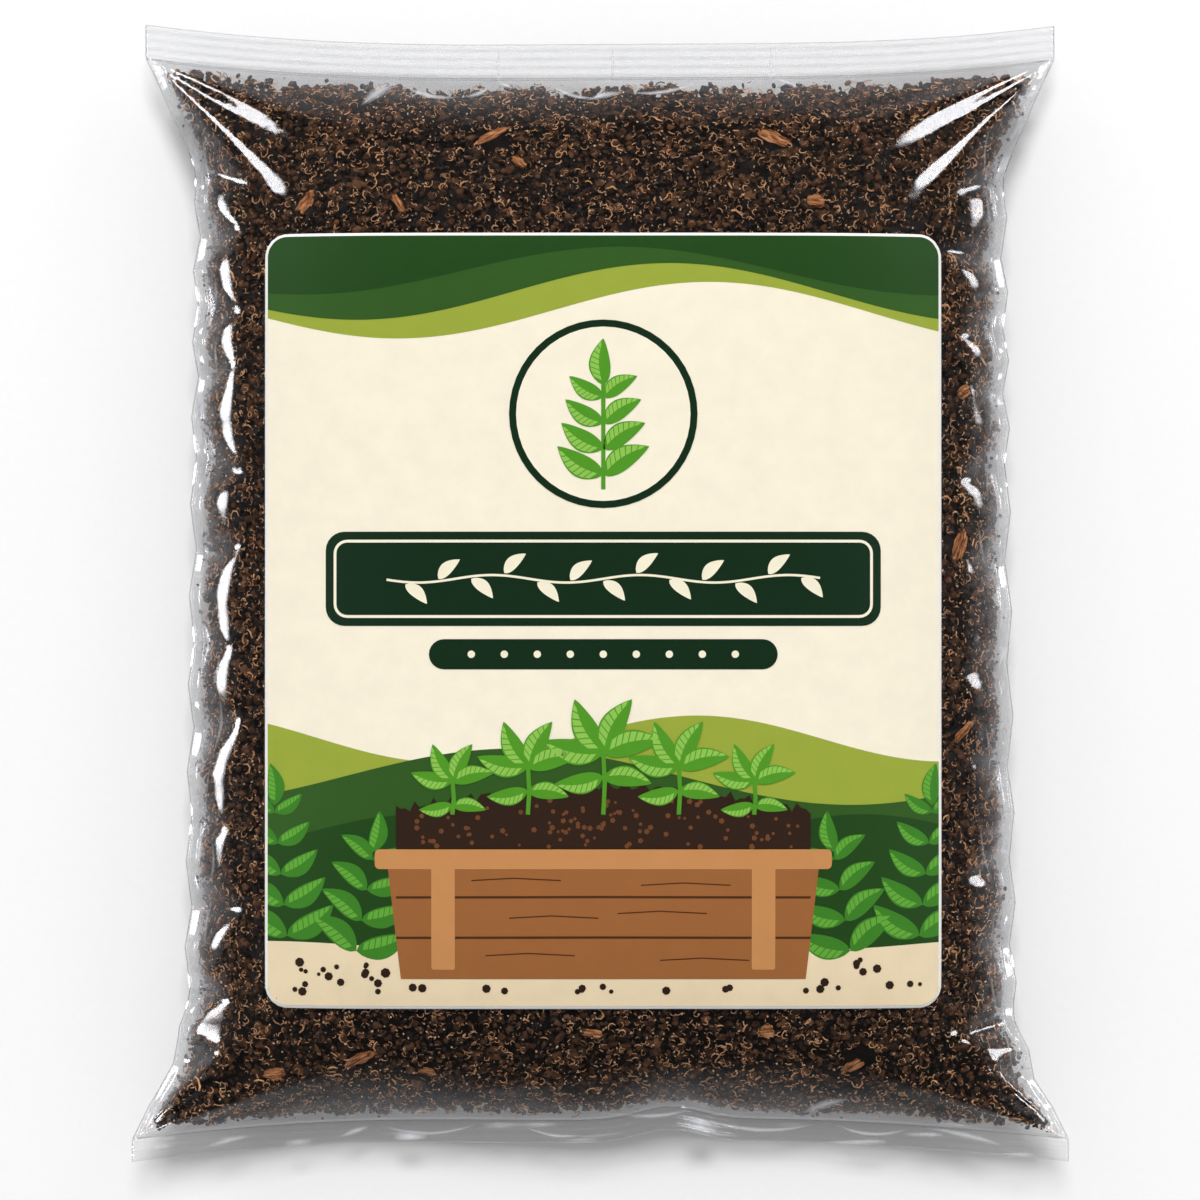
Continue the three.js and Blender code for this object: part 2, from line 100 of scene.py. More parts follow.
def linear(code):
    """The linear colour of an sRGB hex code."""
    values = (int(code[i : i + 2], 16) / 255 for i in (1, 3, 5))
    return tuple(v / 12.92 if v <= 0.04045 else ((v + 0.055) / 1.055) ** 2.4 for v in values)


class FilmProperties(bpy.types.PropertyGroup):
    """The film tube, its seals and its crimps"""

    length: length_property("Length", "Over both seals, at the corners", 247)
    top_width: length_property("Top seal width", "Across the top seal", 197.6)
    bottom_width: length_property("Bottom seal width", "Across the bottom seal", 203.4)
    top_seal: length_property("Top seal depth", "Depth of the top heat seal", 7.4)
    bottom_seal: length_property("Bottom seal depth", "Depth of the bottom heat seal", 5)
    draw_in: length_property("Draw-in", "How far the filling draws each side in", 11)
    ear: length_property("Ear length", "From a seal to where the sides run straight", 30)
    margin: length_property("Side margin", "Clear film beside the soil", 2.4)
    margin_rise: length_property("Margin rise", "Height of the front at the margin's inner edge", 1.6)
    front_height: length_property("Front height", "Side fold to the top of the front", 26)
    fold_height: length_property("Fold height", "Resting surface to the side folds", 16)
    seal_height: length_property("Seal height", "Resting surface to the seals", 12.5)
    end_slope: length_property("End slope", "Length over which the front rises from a seal", 70)
    crimp_reach: length_property("Crimp reach", "Side fold to the inner end of a common crimp", 12)
    crimp_depth: length_property("Crimp depth", "Depth of a side crimp", 3)
    crimp_notch: length_property("Crimp notch", "How far a crimp draws the fold in", 1.3)
    crimp_twist: length_property("Crimp wander", "How far the fold wanders up and down", 1.4)
    rib_height: length_property("Rib height", "Height of the ribs in the seals", 0.5)
    wall: length_property("Film thickness", "Thickness of the film", 0.1)
    clearness: number_property("Clearness", "Share of the light that one film face lets through", 0.972)
    gloss: number_property("Roughness", "Roughness of the film", 0.06)


class SoilProperties(bpy.types.PropertyGroup):
    """The loam and its bark"""

    clearance: length_property("Clearance", "Soil to film", 0.3)
    crumb: length_property("Crumb size", "Mean radius of a crumb", 0.95)
    crumb_density: number_property("Crumb density", "Crumbs a square mm in front", 0.7)
    fibre_density: number_property("Fibre density", "Fibres a square mm in front", 0.47)
    speck_density: number_property("Speck density", "Bright grains a square mm in front", 0.14)
    back_share: number_property("Back share", "Density at the back as a share of the front's", 0.07)
    seed: IntProperty(name="Seed", description="Seed of the scatter", default=7)
    dark: colour_property("Dark crumb", "Damp humus", "#090605")
    light: colour_property("Light crumb", "Drier loam", "#755038")


class LabelProperties(bpy.types.PropertyGroup):
    """The paper label"""

    width: length_property("Width", "Width of the label", 144.4)
    height: length_property("Height", "Height of the label", 165)
    corner: length_property("Corner", "Radius of the corners", 4.8)
    thickness: length_property("Thickness", "Thickness of the label stock", 0.2)
    gap: length_property("Glue line", "Label to film", 0.1)
    place_x: length_property("Place across", "Middle of the label across the bag", 0.6)
    place_y: length_property("Place along", "Middle of the label along the bag", -6)
    border: length_property("Border", "White border round the print", 0.6)


class StageProperties(bpy.types.PropertyGroup):
    """Camera and lamps"""

    distance: length_property("Camera height", "Camera over the seals", 1200)
    view_width: length_property("View width", "Width of the view at the seals", 261)
    side_power: power_property("Side lamps", "Power of each side softbox", 0.9)
    end_power: power_property("End lamp", "Power of the softbox past the top", 130)
    sky: number_property("Sky", "Strength of the even light", 0.41)
    card: number_property("Side cards", "Brightness of the cards mirrored in the film", 11)


def noise_over(points, across, along, layer):
    """Smooth noise over a sheet of points, with features of a size across and along it."""
    values = [noise.noise((p[0] / across, p[1] / along, layer)) for p in points.reshape(-1, 3)]
    return np.array(values).reshape(points.shape[:2])


class BagForm:
    """The bag's surface in millimetres, from the same sizes and rules as its solids."""

    top_ribs = 4
    bottom_ribs = 3
    rib_steps = 6  # rows over one rib
    steps = 7  # rows between a ridge and a valley
    margin_columns = 4
    half_columns = 33  # from a margin's inner edge to the middle
    crowding = 1.5  # how much closer the columns lie beside the folds
    end_rows = (0, 2.2, 7)
    rest_press = 1.15  # the underside would bulge past the floor and lies flat on it
    ear_power = 1.4
    across_powers, end_powers = (5, 0.75), (3.5, 0.8)  # how fast the front rises from folds and seals
    corner_power = 1.5  # how round the pillow's corners are
    pinch_place, pinch_spread, pinch_height = 15, 9, 3.2  # where the bottom seal is gathered
    top_wave, bottom_wave = (1.8, 130, 0.7), (2.4, 95, 0.4)  # height, length and phase
    top_bow, bottom_bow = 4.2, 4.1  # how far the filling draws in the middle of a seal
    crimp_limit = 0.58  # most of the rise that a crimp takes away
    crimp_spread = 6.5  # from the valley of a crimp to its edges, at the fold
    dent_reach = 1.15  # of a crimp's own reach
    crimp_leans = (0.3, -0.25, 0.1, -0.4)
    crimp_widths = (1, 0.85, 1.1, 0.75, 0.95)
    crimp_depths = (1, 1.15, 0.8)
    fan_height = 1.0
    fan_reach = 46
    fan_start = 14  # degrees from the side fold to the first ridge
    fan_turn = 34  # degrees over a ridge and a valley
    fan_skew = 0.7  # brings the highest place nearer to the corner
    fan_limit = 0.3  # most of the rise that the fan adds or takes away
    bow_fade = 60  # from a seal to where its bow is gone
    crease_reach = 1.5
    front_crease, back_crease = 0.22, 0.5  # height of the fine creases
    front_crease_size, back_crease_size = (13, 10), (7, 5)  # across and along
    front_swell = 1.5
    crease_sharpness = 2.6
    crease_bend, crease_width = 0.012, 0.9  # of the long creases
    label_middle, label_cover, cover_edge = (0.6, -6), (70, 80), 5  # the front is smooth under the label
    plain_milk, fold_milk, crease_milk, most_milk = 0.0006, 0.15, 0.2, 0.5  # cloudiness, 0 to 1; the share along the folds is also painted light over the shade seen through the margins

    def __init__(self, sizes):
        for key in sizes.bl_rna.properties.keys():
            value = getattr(sizes, key)
            if isinstance(value, float) and key not in ("clearness", "gloss"):
                setattr(self, key, value / MM)
        self.filled = self.length - self.top_seal - self.bottom_seal
        self.bottom_line = self.bottom_seal - self.length / 2
        self.rows = self.row_table()
        self.columns = self.column_table()

    def side_stations(self, crimps):
        """Place, valley weight, reach and wander of each row on one side."""
        crimps = [(along, share * self.crimp_reach) for along, share in crimps]
        rows = [(d / self.filled, 0, crimps[0][1], 0) for d in self.end_rows]
        for i, (along, reach) in enumerate(crimps):
            after = crimps[i + 1] if i + 1 < len(crimps) else (1, reach)
            rows.append((along, 1, reach, self.crimp_twist * (1 if i % 2 else -1)))
            rows.append(((along + after[0]) / 2, 0, (reach + after[1]) / 2, 1e-6 * (1 if i % 2 else -1)))
        rows += [(1 - d / self.filled, 0, crimps[-1][1], 0) for d in reversed(self.end_rows)]
        return np.array(rows)

    def row_table(self):
        """Every row of the fine mesh: stations left and right, and how far out it lies in a seal."""
        bottom = np.linspace(-self.bottom_seal, 0, self.rib_steps * self.bottom_ribs + 1)[:-1]
        top = np.linspace(0, self.top_seal, self.rib_steps * self.top_ribs + 1)[1:]
        sides = []
        for crimps in (LEFT_CRIMPS, RIGHT_CRIMPS):
            stations = self.side_stations(crimps)
            last = len(stations) - 1
            at = np.linspace(0, last, last * self.steps + 1)
            fine = np.column_stack([np.interp(at, range(last + 1), values) for values in stations.T])
            ends = np.repeat(fine[:1], len(bottom), 0), np.repeat(fine[-1:], len(top), 0)
            sides.append(np.concatenate([ends[0], fine, ends[1]]))
        band = np.concatenate([bottom, np.zeros(len(at)), top])
        self.first, self.last = len(bottom), len(bottom) + len(at) - 1
        return (*sides, band)

    def column_table(self):
        """Side, share of the margin and share of the rest for each column."""
        margin = [(i / self.margin_columns, 0) for i in range(self.margin_columns)]
        rest = [(1, (i / self.half_columns) ** self.crowding) for i in range(self.half_columns + 1)]
        half = margin + rest
        left = [(-1, *c) for c in half]
        right = [(1, *c) for c in reversed(half[:-1])]
        return np.array(left + right)

    def ease(self, distance):
        """0 at a seal, 1 where the sides run straight."""
        return 1 - (1 - np.clip(distance / self.ear, 0, 1)) ** self.ear_power

    def seal_distance(self, along):
        return np.minimum(along, 1 - along) * self.filled

    def half_width(self, along):
        flat = (self.bottom_width + (self.top_width - self.bottom_width) * np.clip(along, 0, 1)) / 2
        return flat - self.draw_in * self.ease(self.seal_distance(along))

    def fullness(self, inward, half, distance):
        """0 at the folds and seal lines, 1 over the flat middle."""
        margin = self.margin_rise / self.front_height
        past = np.clip((inward - self.margin) / (half - self.margin), 0, 1)
        wedge = margin * np.minimum(1, inward / self.margin)
        first, second = self.across_powers
        across = wedge + (1 - margin) * (1 - (1 - past) ** first) ** second
        first, second = self.end_powers
        lengthwise = (1 - (1 - np.minimum(1, distance / self.end_slope)) ** first) ** second
        tiny, power = 1e-9, -self.corner_power
        full = (np.maximum(across, tiny) ** power + np.maximum(lengthwise, tiny) ** power - 1) ** (1 / power)
        return np.where((across <= tiny) | (lengthwise <= tiny), 0, full)

    def pinch(self, x):
        """Height of the gather in the bottom seal."""
        return self.pinch_height * np.exp(-(((x - self.pinch_place) / self.pinch_spread) ** 2))

    def seal_line(self, x, top):
        """Height of the seals' waving line."""
        height, length, phase = self.top_wave
        high = self.seal_height + height * np.sin(2 * np.pi * x / length + phase)
        height, length, phase = self.bottom_wave
        low = self.seal_height + height * np.cos(2 * np.pi * x / length + phase) + self.pinch(x)
        return np.where(top, high, low)

    def seal_bow(self, x, half, top):
        """How far a seal is drawn along the bag, most in its middle."""
        bow = 1 - np.abs(x / half) ** 3
        return np.where(top, -self.top_bow * bow, self.bottom_bow * bow + self.pinch(x))

    def fan(self, inward, distance):
        """Ridges and valleys that run out from the corners of the filling."""
        radius = np.hypot(inward, distance) / self.fan_reach
        turn = (np.degrees(np.arctan2(distance, inward)) - self.fan_start) / self.fan_turn
        inside = (radius < 1) & (turn > 0) & (turn < 2)
        shape = np.sin(2 * np.pi * turn) * np.sin(np.pi * np.clip(radius, 0, 1) ** self.fan_skew)
        return np.where(inside, self.fan_height * shape, 0)

    def sheet(self, face):
        """Points of the front (1) or back (-1), as rows by columns by 3."""
        left, right, band = self.rows
        side, in_margin, beyond = (self.columns[:, k][None, :] for k in range(3))

        def pick(k):
            return np.where(side < 0, left[:, k][:, None], right[:, k][:, None])

        half = self.half_width(pick(0))
        inward = self.margin * in_margin + (half - self.margin) * beyond
        across = (1 + side * (half - inward) / half) / 2
        along = left[:, 0][:, None] * (1 - across) + right[:, 0][:, None] * across
        distance = self.seal_distance(along)
        valley, reach = pick(1), pick(2)
        fall = np.clip(1 - inward / reach, 0, 1)
        x = side * (half - inward - self.crimp_notch * valley * fall)
        top = along > 0.5
        fade = np.clip(1 - distance / self.bow_fade, 0, 1) ** 1.5
        y = self.bottom_line + along * self.filled + self.seal_bow(x, half, top) * fade + band[:, None]

        full = self.fullness(inward, half, distance)
        ease = self.ease(distance)
        edge = self.seal_line(x, top) * (1 - ease) + self.fold_height * ease + pick(3) * valley * fall * ease
        rise = (self.front_height if face > 0 else self.rest_press * self.fold_height) * full
        if face > 0:
            limit = self.fan_limit * rise
            rise = rise + np.clip(self.fan(inward, distance), -limit, limit)
        left_dents = self.dents(LEFT_CRIMPS, along, inward)
        right_dents = self.dents(RIGHT_CRIMPS, along, inward)
        rise = rise - np.minimum(np.where(side < 0, left_dents, right_dents), self.crimp_limit * rise)
        points = np.stack([x, y, edge + face * rise], axis=-1)
        points[..., 2] += face * self.fine_creases(points, full, face)
        points[..., 2] += self.ribs(band)[:, None] + face * self.weld(band, points.shape[:2])
        points[..., 2] = np.maximum(points[..., 2], 0)
        return points

    def dents(self, crimps, along, inward):
        """Depth of one side's V-shaped crimps: two flat faces each, that meet in a leaning valley."""
        depth = np.zeros(np.broadcast(along, inward).shape)
        past_margin = np.maximum(inward - self.margin, 0)
        for i, (place, share) in enumerate(crimps):
            reach = share * self.crimp_reach * self.dent_reach
            fall = np.clip((reach - inward) / (reach - self.margin), 1e-6, 1)
            valley = place * self.filled + self.crimp_leans[i % 4] * past_margin
            spread = self.crimp_spread * self.crimp_widths[i % 5] * fall
            flank = np.clip(1 - np.abs(along * self.filled - valley) / spread, 0, 1)
            share_of_depth = np.minimum(inward / self.margin, 1) * self.crimp_depths[i % 3]
            depth = np.maximum(depth, self.crimp_depth * share_of_depth * fall * flank)
        return depth

    def ribs(self, band):
        """Up and down over the ribs of a seal."""
        pitch = np.where(band > 0, self.top_seal / self.top_ribs, self.bottom_seal / self.bottom_ribs)
        return self.rib_height * (1 - np.cos(2 * np.pi * band / pitch)) / 2

    def weld(self, band, shape):
        """Half the thickness of a seal, closed along its outer edges."""
        half = np.where(band[:, None] != 0, self.wall, 0) * np.ones(shape)
        half[:, [0, -1]] = 0
        half[[0, -1], :] = 0
        return half

    def fine_creases(self, points, full, face):
        """Small stiff creases, strongest beside the folds and the seals."""
        across, along = self.front_crease_size if face > 0 else self.back_crease_size
        ridged = 1 - np.abs(noise_over(points, across, along, 9 * face)) * self.crease_sharpness
        ridged = np.clip(ridged, 0, 1) ** 2
        near = np.clip(1 - full, 0, 1) ** self.crease_reach * np.minimum(1, full * 8)
        creases = self.back_crease * ridged * near
        if face > 0:
            swells = noise_over(points, 16, 13, 4 + face)
            creases = (self.front_crease * ridged + self.front_swell * swells) * near
            past_label = np.abs(points[..., :2] - self.label_middle) - self.label_cover
            bare = np.clip(past_label.max(-1) / self.cover_edge, 0, 1)
            for x, y, angle, length, height in FRONT_CREASES:
                turn = math.radians(angle)
                along = (points[..., 0] - x) * math.cos(turn) + (points[..., 1] - y) * math.sin(turn)
                off = (points[..., 1] - y) * math.cos(turn) - (points[..., 0] - x) * math.sin(turn)
                off = off + self.crease_bend * along**2
                fade = np.clip(1 - (2 * along / length) ** 2, 0, 1)
                ridge = np.exp(-np.abs(off) / self.crease_width)
                creases = creases + height * fade * ridge * np.minimum(1, full * 4)
            creases = creases * bare
        return creases

    def milk(self, points):
        """How clouded the film is, in the welds and where it is creased beside the folds, with painted light
        in it: painted highlights along the seals' ribs and in the bottom seal, and painted lightening along
        the folds.
        """
        band, beyond = self.rows[2], self.columns[:, 2][None, :]
        streaks = noise_over(points, 9, 2.2, 5)
        creased = np.clip(1 - np.abs(noise_over(points, 3, 4, 3)) * 7, 0, 1)
        pitch = self.top_seal / self.top_ribs
        # Painted highlights: lines of haze along the seals' ribs, two to a rib, stand in for the ribs' glints
        lines = 0.5 + 0.5 * np.cos(2 * np.pi * band / pitch * 2 + 0.8 * np.sin(band * 2.1))
        upper = 0.12 + 0.1 * lines[:, None] + 0.12 * np.clip(streaks, -0.4, 1)
        # In the bottom seal the painted rib lines are faint, and the few white slivers from the streaks are
        # painted highlights
        lower = 0.015 + 0.02 * lines[:, None] + 0.5 * np.clip(streaks * 4 - 1.3, 0, 1)
        weld = np.where(band[:, None] > 0, upper, np.where(band[:, None] < 0, lower, 0))
        near = np.clip(1 - beyond / 0.13, 0, 1) ** 2
        # Haze along the folds: partly the film's own, partly painted light that lifts the shaded floor seen
        # through the clear margin
        fold = np.clip(1 - beyond / 0.03, 0, 1)
        sides = np.where(band[:, None] == 0, self.fold_milk * fold + self.crease_milk * near * creased, 0)
        return np.clip(self.plain_milk + weld + sides, 0, self.most_milk)

    def normals(self, points):
        """Unit normals that point up off a sheet."""
        across = np.gradient(points, axis=1)
        along = np.gradient(points, axis=0)
        normal = np.cross(across, along)
        return normal / np.maximum(np.linalg.norm(normal, axis=-1, keepdims=True), 1e-12)


def form():
    return BagForm(bpy.context.scene.soil_bag_film)


def new_object(name, mesh, material, slot, *nodes):
    """Puts a finished piece in the scene, on the one body that there is."""
    piece = bpy.data.objects.new(name, mesh)
    bpy.context.scene.collection.objects.link(piece)
    if material:
        mesh.materials.append(material)
    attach(piece, "root")
    if nodes:
        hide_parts(*nodes)
    return piece


def to_mesh(bm, name, smooth=True):
    mesh = bpy.data.meshes.new(name)
    bm.to_mesh(mesh)
    bm.free()
    mesh.polygons.foreach_set("use_smooth", [smooth] * len(mesh.polygons))
    return mesh


def sheet_grid(bm, points, flip):
    """Adds a grid through points (rows by columns) to a bmesh, turned over if flip is set."""
    rows, columns = points.shape[:2]
    made = bmesh.ops.create_grid(bm, x_segments=columns - 1, y_segments=rows - 1, size=0.5)["verts"]
    made.sort(key=lambda vert: (round((vert.co.y + 0.5) * (rows - 1)), vert.co.x))
    for vert, place in zip(made, points.reshape(-1, 3) * MM):
        vert.co = Vector(place)
    faces = {face for vert in made for face in vert.link_faces}
    if flip:
        bmesh.ops.reverse_faces(bm, faces=list(faces))
    return made


def add_node(tree, kind, settings=None, links=None):
    """Adds a node. A setting is a property or an input's value, a link is an input's source."""
    node = tree.nodes.new(kind)
    for key, value in (settings or {}).items():
        if isinstance(key, str) and hasattr(node, key):
            setattr(node, key, value)
        else:
            node.inputs[key].default_value = value
    for key, source in (links or {}).items():
        tree.links.new(source, node.inputs[key])
    return node


def new_material(name):
    """An empty material and its output node."""
    material = bpy.data.materials.new(name)
    material.use_nodes = True
    material.node_tree.nodes.clear()
    output = add_node(material.node_tree, "ShaderNodeOutputMaterial")
    return material, material.node_tree, output


def add_math(tree, operation, *values):
    """A math node's output. Each value is a number or another node's output."""
    numbers = {i: value for i, value in enumerate(values) if isinstance(value, (int, float))}
    sources = {i: value for i, value in enumerate(values) if i not in numbers}
    return add_node(tree, "ShaderNodeMath", {"operation": operation, **numbers}, sources).outputs[0]


def add_grain(tree, vector, size, detail, roughness=0.5, distortion=0.0):
    """Noise with features of one size, as a factor from 0 to 1."""
    look = {"Scale": 1 / size, "Detail": detail, "Roughness": roughness, "Distortion": distortion}
    return add_node(tree, "ShaderNodeTexNoise", look, {"Vector": vector}).outputs["Fac"]


def add_ramp(tree, factor, *stops):
    """Colours along a factor: the stops of both ends, then any between, each as place and colour."""
    ramp = add_node(tree, "ShaderNodeValToRGB", None, {"Fac": factor})
    elements = ramp.color_ramp.elements
    for i, (place, colour) in enumerate(stops):
        element = elements[i] if i < 2 else elements.new(place)
        element.position = place
        element.color = (*colour, 1)
    return ramp.outputs[0]


def add_surface(tree, output, look, colour, height=None, bump=(0, 0)):
    """A Principled surface on the output, with a bump of a strength and a depth in metres."""
    links = {"Base Color": colour}
    if height is not None:
        strength, depth = bump
        relief = add_node(tree, "ShaderNodeBump", {"Strength": strength, "Distance": depth})
        tree.links.new(height, relief.inputs["Height"])
        links["Normal"] = relief.outputs[0]
    surface = add_node(tree, "ShaderNodeBsdfPrincipled", look, links)
    tree.links.new(surface.outputs[0], output.inputs["Surface"])


def object_place(tree):
    return add_node(tree, "ShaderNodeTexCoord").outputs["Object"]


def film_material(sizes):
    """Blown polyethylene film: clear and thin, with sharp white glints on its creases."""
    straight_on, at_edge = 0.045, 0.95  # light mirrored straight on, and what the edge adds
    material, tree, output = new_material("blown_polyethylene_film")
    facing = add_node(tree, "ShaderNodeLayerWeight", {"Blend": 0.5}).outputs["Facing"]
    mirror = add_math(tree, "MULTIPLY_ADD", add_math(tree, "POWER", facing, 5.0), at_edge, straight_on)
    # The film's haze from its sheets, which also holds painted highlights along the seals and painted light
    # along the folds
    milk = add_node(tree, "ShaderNodeAttribute", {"attribute_name": "milk"}).outputs["Fac"]
    seen = add_math(tree, "ADD", mirror, milk)
    shine = add_math(tree, "DIVIDE", mirror, seen)
    clear = add_node(tree, "ShaderNodeBsdfTransparent", {"Color": (sizes.clearness,) * 3 + (1,)})
    look = {"Base Color": (0.95, 0.955, 1, 1), "Roughness": sizes.gloss}
    gloss = add_node(tree, "ShaderNodeBsdfPrincipled", look, {"Metallic": shine})
    mixed = add_node(tree, "ShaderNodeMixShader", None, {0: seen, 1: clear.outputs[0], 2: gloss.outputs[0]})
    tree.links.new(mixed.outputs[0], output.inputs["Surface"])
    return material


def crumb_material(name, dark, light, grain):
    """Damp loam: each crumb has its own brown, with a fine grain that breaks up its faces."""
    material, tree, output = new_material(name)
    tint = add_node(tree, "ShaderNodeAttribute", {"attribute_name": "tint"}).outputs["Fac"]
    speckle = add_grain(tree, object_place(tree), grain * MM, 3.0, 0.65)
    settings = {"operation": "MULTIPLY_ADD", "use_clamp": True, 1: 0.6}
    shade = add_node(tree, "ShaderNodeMath", settings, {0: speckle, 2: tint}).outputs[0]
    colour = add_ramp(tree, shade, (0.42, dark), (1, light))
    look = {"Roughness": 0.55, "Specular IOR Level": 0.2}
    add_surface(tree, output, look, colour, speckle, (0.6, 0.3 * MM))
    return material


def bark_material():
    """Pine bark: orange brown with darker fibres along the chip and a corky surface. The grain that makes the
    bump also sets the colour, so its hollows are painted darker and its raised fibres paler: partly the
    bark's own fibres, partly painted shade and highlight.
    """
    material, tree, output = new_material("pine_bark")
    grain = add_node(tree, "ShaderNodeAttribute", {"attribute_name": "grain"})  # mm, drawn out along the chip
    fibres = add_grain(tree, grain.outputs["Vector"], 0.5, 5.0, 0.65, 0.4)
    # Partly painted shade and highlight: low grain is dark in the bump's hollows, high grain pale on its
    # ridges
    stops = (0.38, linear("#2e170c")), (0.64, linear("#e2a875")), (0.48, linear("#96582f"))
    add_surface(tree, output, {"Roughness": 0.8}, add_ramp(tree, fibres, *stops), fibres, (0.8, 0.4 * MM))
    return material


def paper_material(name, code, mottle=0.03):
    """Coated label paper or the ink on it: satin, with a faint cloudiness in the colour."""
    material, tree, output = new_material(name)
    clouds = add_grain(tree, object_place(tree), 6 * MM, 6.0, 0.6)
    darker, lighter = (tuple(min(1, v * share) for v in linear(code)) for share in (1 - mottle, 1 + mottle))
    colour = add_ramp(tree, clouds, (0.3, darker), (0.7, lighter))
    add_surface(tree, output, {"Roughness": 0.55, "Specular IOR Level": 0.2}, colour)
    return material


class BAG_OT_film(bpy.types.Operator):
    """The film tube with its crimped folds and ribbed seals, a thin shell open inside"""

    bl_idname = "soil_bag.film"
    bl_label = "Film bag"

    def execute(self, context):
        bag = form()
        bm = bmesh.new()
        outside = {face: bag.sheet(face) for face in (1, -1)}
        milk = bm.verts.layers.float.new("milk")
        for face, points in outside.items():
            # Haze of each sheet, with its painted highlights along the seals and painted light along the
            # folds
            clouded = bag.milk(points).ravel()
            for vert, value in zip(sheet_grid(bm, points, face < 0), clouded):
                vert[milk] = value
        bmesh.ops.remove_doubles(bm, verts=bm.verts, dist=0.01 * MM)
        outer_faces = len(bm.faces)
        inside = self.inner_sheets(bag, outside)
        for face, points in inside.items():
            sheet_grid(bm, points, face > 0)
        bmesh.ops.remove_doubles(bm, verts=bm.verts, dist=0.002 * MM)
        material = film_material(context.scene.soil_bag_film)
        mesh = to_mesh(bm, "film_bag_shell")
        piece = new_object("film_bag_shell", mesh, material, "clear_film", "film_bag")
        piece["outer_faces"] = outer_faces
        return {"FINISHED"}

    def inner_sheets(self, bag, outside):
        """The inside of the film, closed a little way inside the folds and the seal lines."""
        filled = {face: points[bag.first : bag.last + 1] for face, points in outside.items()}
        moved = {f: p - f * bag.wall * bag.normals(p) for f, p in filled.items()}
        middle = (moved[1] + moved[-1]) / 2
        middle[0], middle[-1] = middle[1], middle[-2]
        middle[:, 0], middle[:, -1] = middle[:, 1], middle[:, -2]
        for points in moved.values():
            points[[0, -1]] = middle[[0, -1]]
            points[:, [0, -1]] = middle[:, [0, -1]]
        return moved


def soil_edge(bag, points, phase):
    """Whether soil shows at each point: it falls short of the folds and of the seals by uneven steps."""
    top_gap, bottom_gap, side_gap = 1.7, 1.0, 1.9
    left, right, band = bag.rows
    in_margin, beyond = (bag.columns[:, k][None, :] for k in (1, 2))
    along = (left[:, 0][:, None] + right[:, 0][:, None]) / 2
    half = bag.half_width(along)
    inward = bag.margin * in_margin + (half - bag.margin) * beyond
    x, y = points[..., 0], points[..., 1]
    wave = np.sin(x / 5.1 + phase) + 0.6 * np.sin(x / 2.3 + 2 * phase)
    side_wave = np.sin(y / 4.3 + phase) + 0.7 * np.sin(y / 1.9)
    top = (1 - along) * bag.filled > top_gap + 0.8 * wave
    bottom = along * bag.filled > bottom_gap + 0.35 * wave
    return top & bottom & (inward > side_gap + 0.35 * side_wave) & (band[:, None] == 0)


class BAG_OT_soil(bpy.types.Operator):
    """The dark body of the soil under its loose crumbs"""

    bl_idname = "soil_bag.soil"
    bl_label = "Soil body"

    depth = 1.3
    inset_rows = 9  # of the film's own, at both ends
    inset_columns = 6

    def execute(self, context):
        bag = form()
        bm = bmesh.new()
        rows = slice(bag.first + self.inset_rows, bag.last - self.inset_rows, 2)
        columns = slice(self.inset_columns, -self.inset_columns)
        for face in (1, -1):
            points = bag.sheet(face)
            points = points - face * self.depth * bag.normals(points)
            points = points[rows, columns].copy()
            lumps = [self.lump(Vector(p)) for p in points.reshape(-1, 3)]
            points[..., 2] += np.array(lumps).reshape(points.shape[:2])
            sheet_grid(bm, points, face < 0)
        edges = [edge for edge in bm.edges if edge.is_boundary]
        bmesh.ops.bridge_loops(bm, edges=edges)
        bmesh.ops.recalc_face_normals(bm, faces=bm.faces)
        material = crumb_material("damp_loam_body", linear("#0c0705"), linear("#2a1a10"), 0.9)
        new_object("loam_body", to_mesh(bm, "loam_body"), material, "loam", "loam_soil")
        return {"FINISHED"}

    def lump(self, point):
        """Height of the small and the large lumps at a point."""
        return 0.45 * noise.noise(point / 1.6) + 0.3 * noise.noise(point / 4)


def crumb_template(kind, seed):
    """One loose shape of unit size, as corners and faces."""
    bm = bmesh.new()
    if kind == "crumb":
        bmesh.ops.create_icosphere(bm, subdivisions=1, radius=1)
        for vert in bm.verts:
            vert.co *= 0.78 + 0.44 * noise.random()
    elif kind == "speck":
        bmesh.ops.create_cube(bm, size=1.6)
        bmesh.ops.scale(bm, vec=(1, 0.7, 0.5), verts=bm.verts)
    else:
        bmesh.ops.create_circle(bm, segments=3, radius=0.16, cap_ends=True)
        bmesh.ops.rotate(bm, verts=bm.verts, cent=(0, 0, 0), matrix=Matrix.Rotation(math.radians(90), 3, "X"))
        bmesh.ops.translate(bm, verts=bm.verts, vec=(1, 0, 0))
        curl = math.radians(70 + 38 * seed)
        bmesh.ops.spin(bm, geom=bm.faces[:], cent=(0, 0, 0), axis=(0, 0, 1), angle=curl, steps=3 + seed // 3)
        bmesh.ops.recalc_face_normals(bm, faces=bm.faces)
        middle = sum((vert.co for vert in bm.verts), Vector()) / len(bm.verts)
        bmesh.ops.translate(bm, verts=bm.verts, vec=-middle)
    bmesh.ops.triangulate(bm, faces=bm.faces)
    corners = np.array([v.co[:] for v in bm.verts])
    faces = np.array([[v.index for v in f.verts] for f in bm.faces])
    bm.free()
    return corners, faces


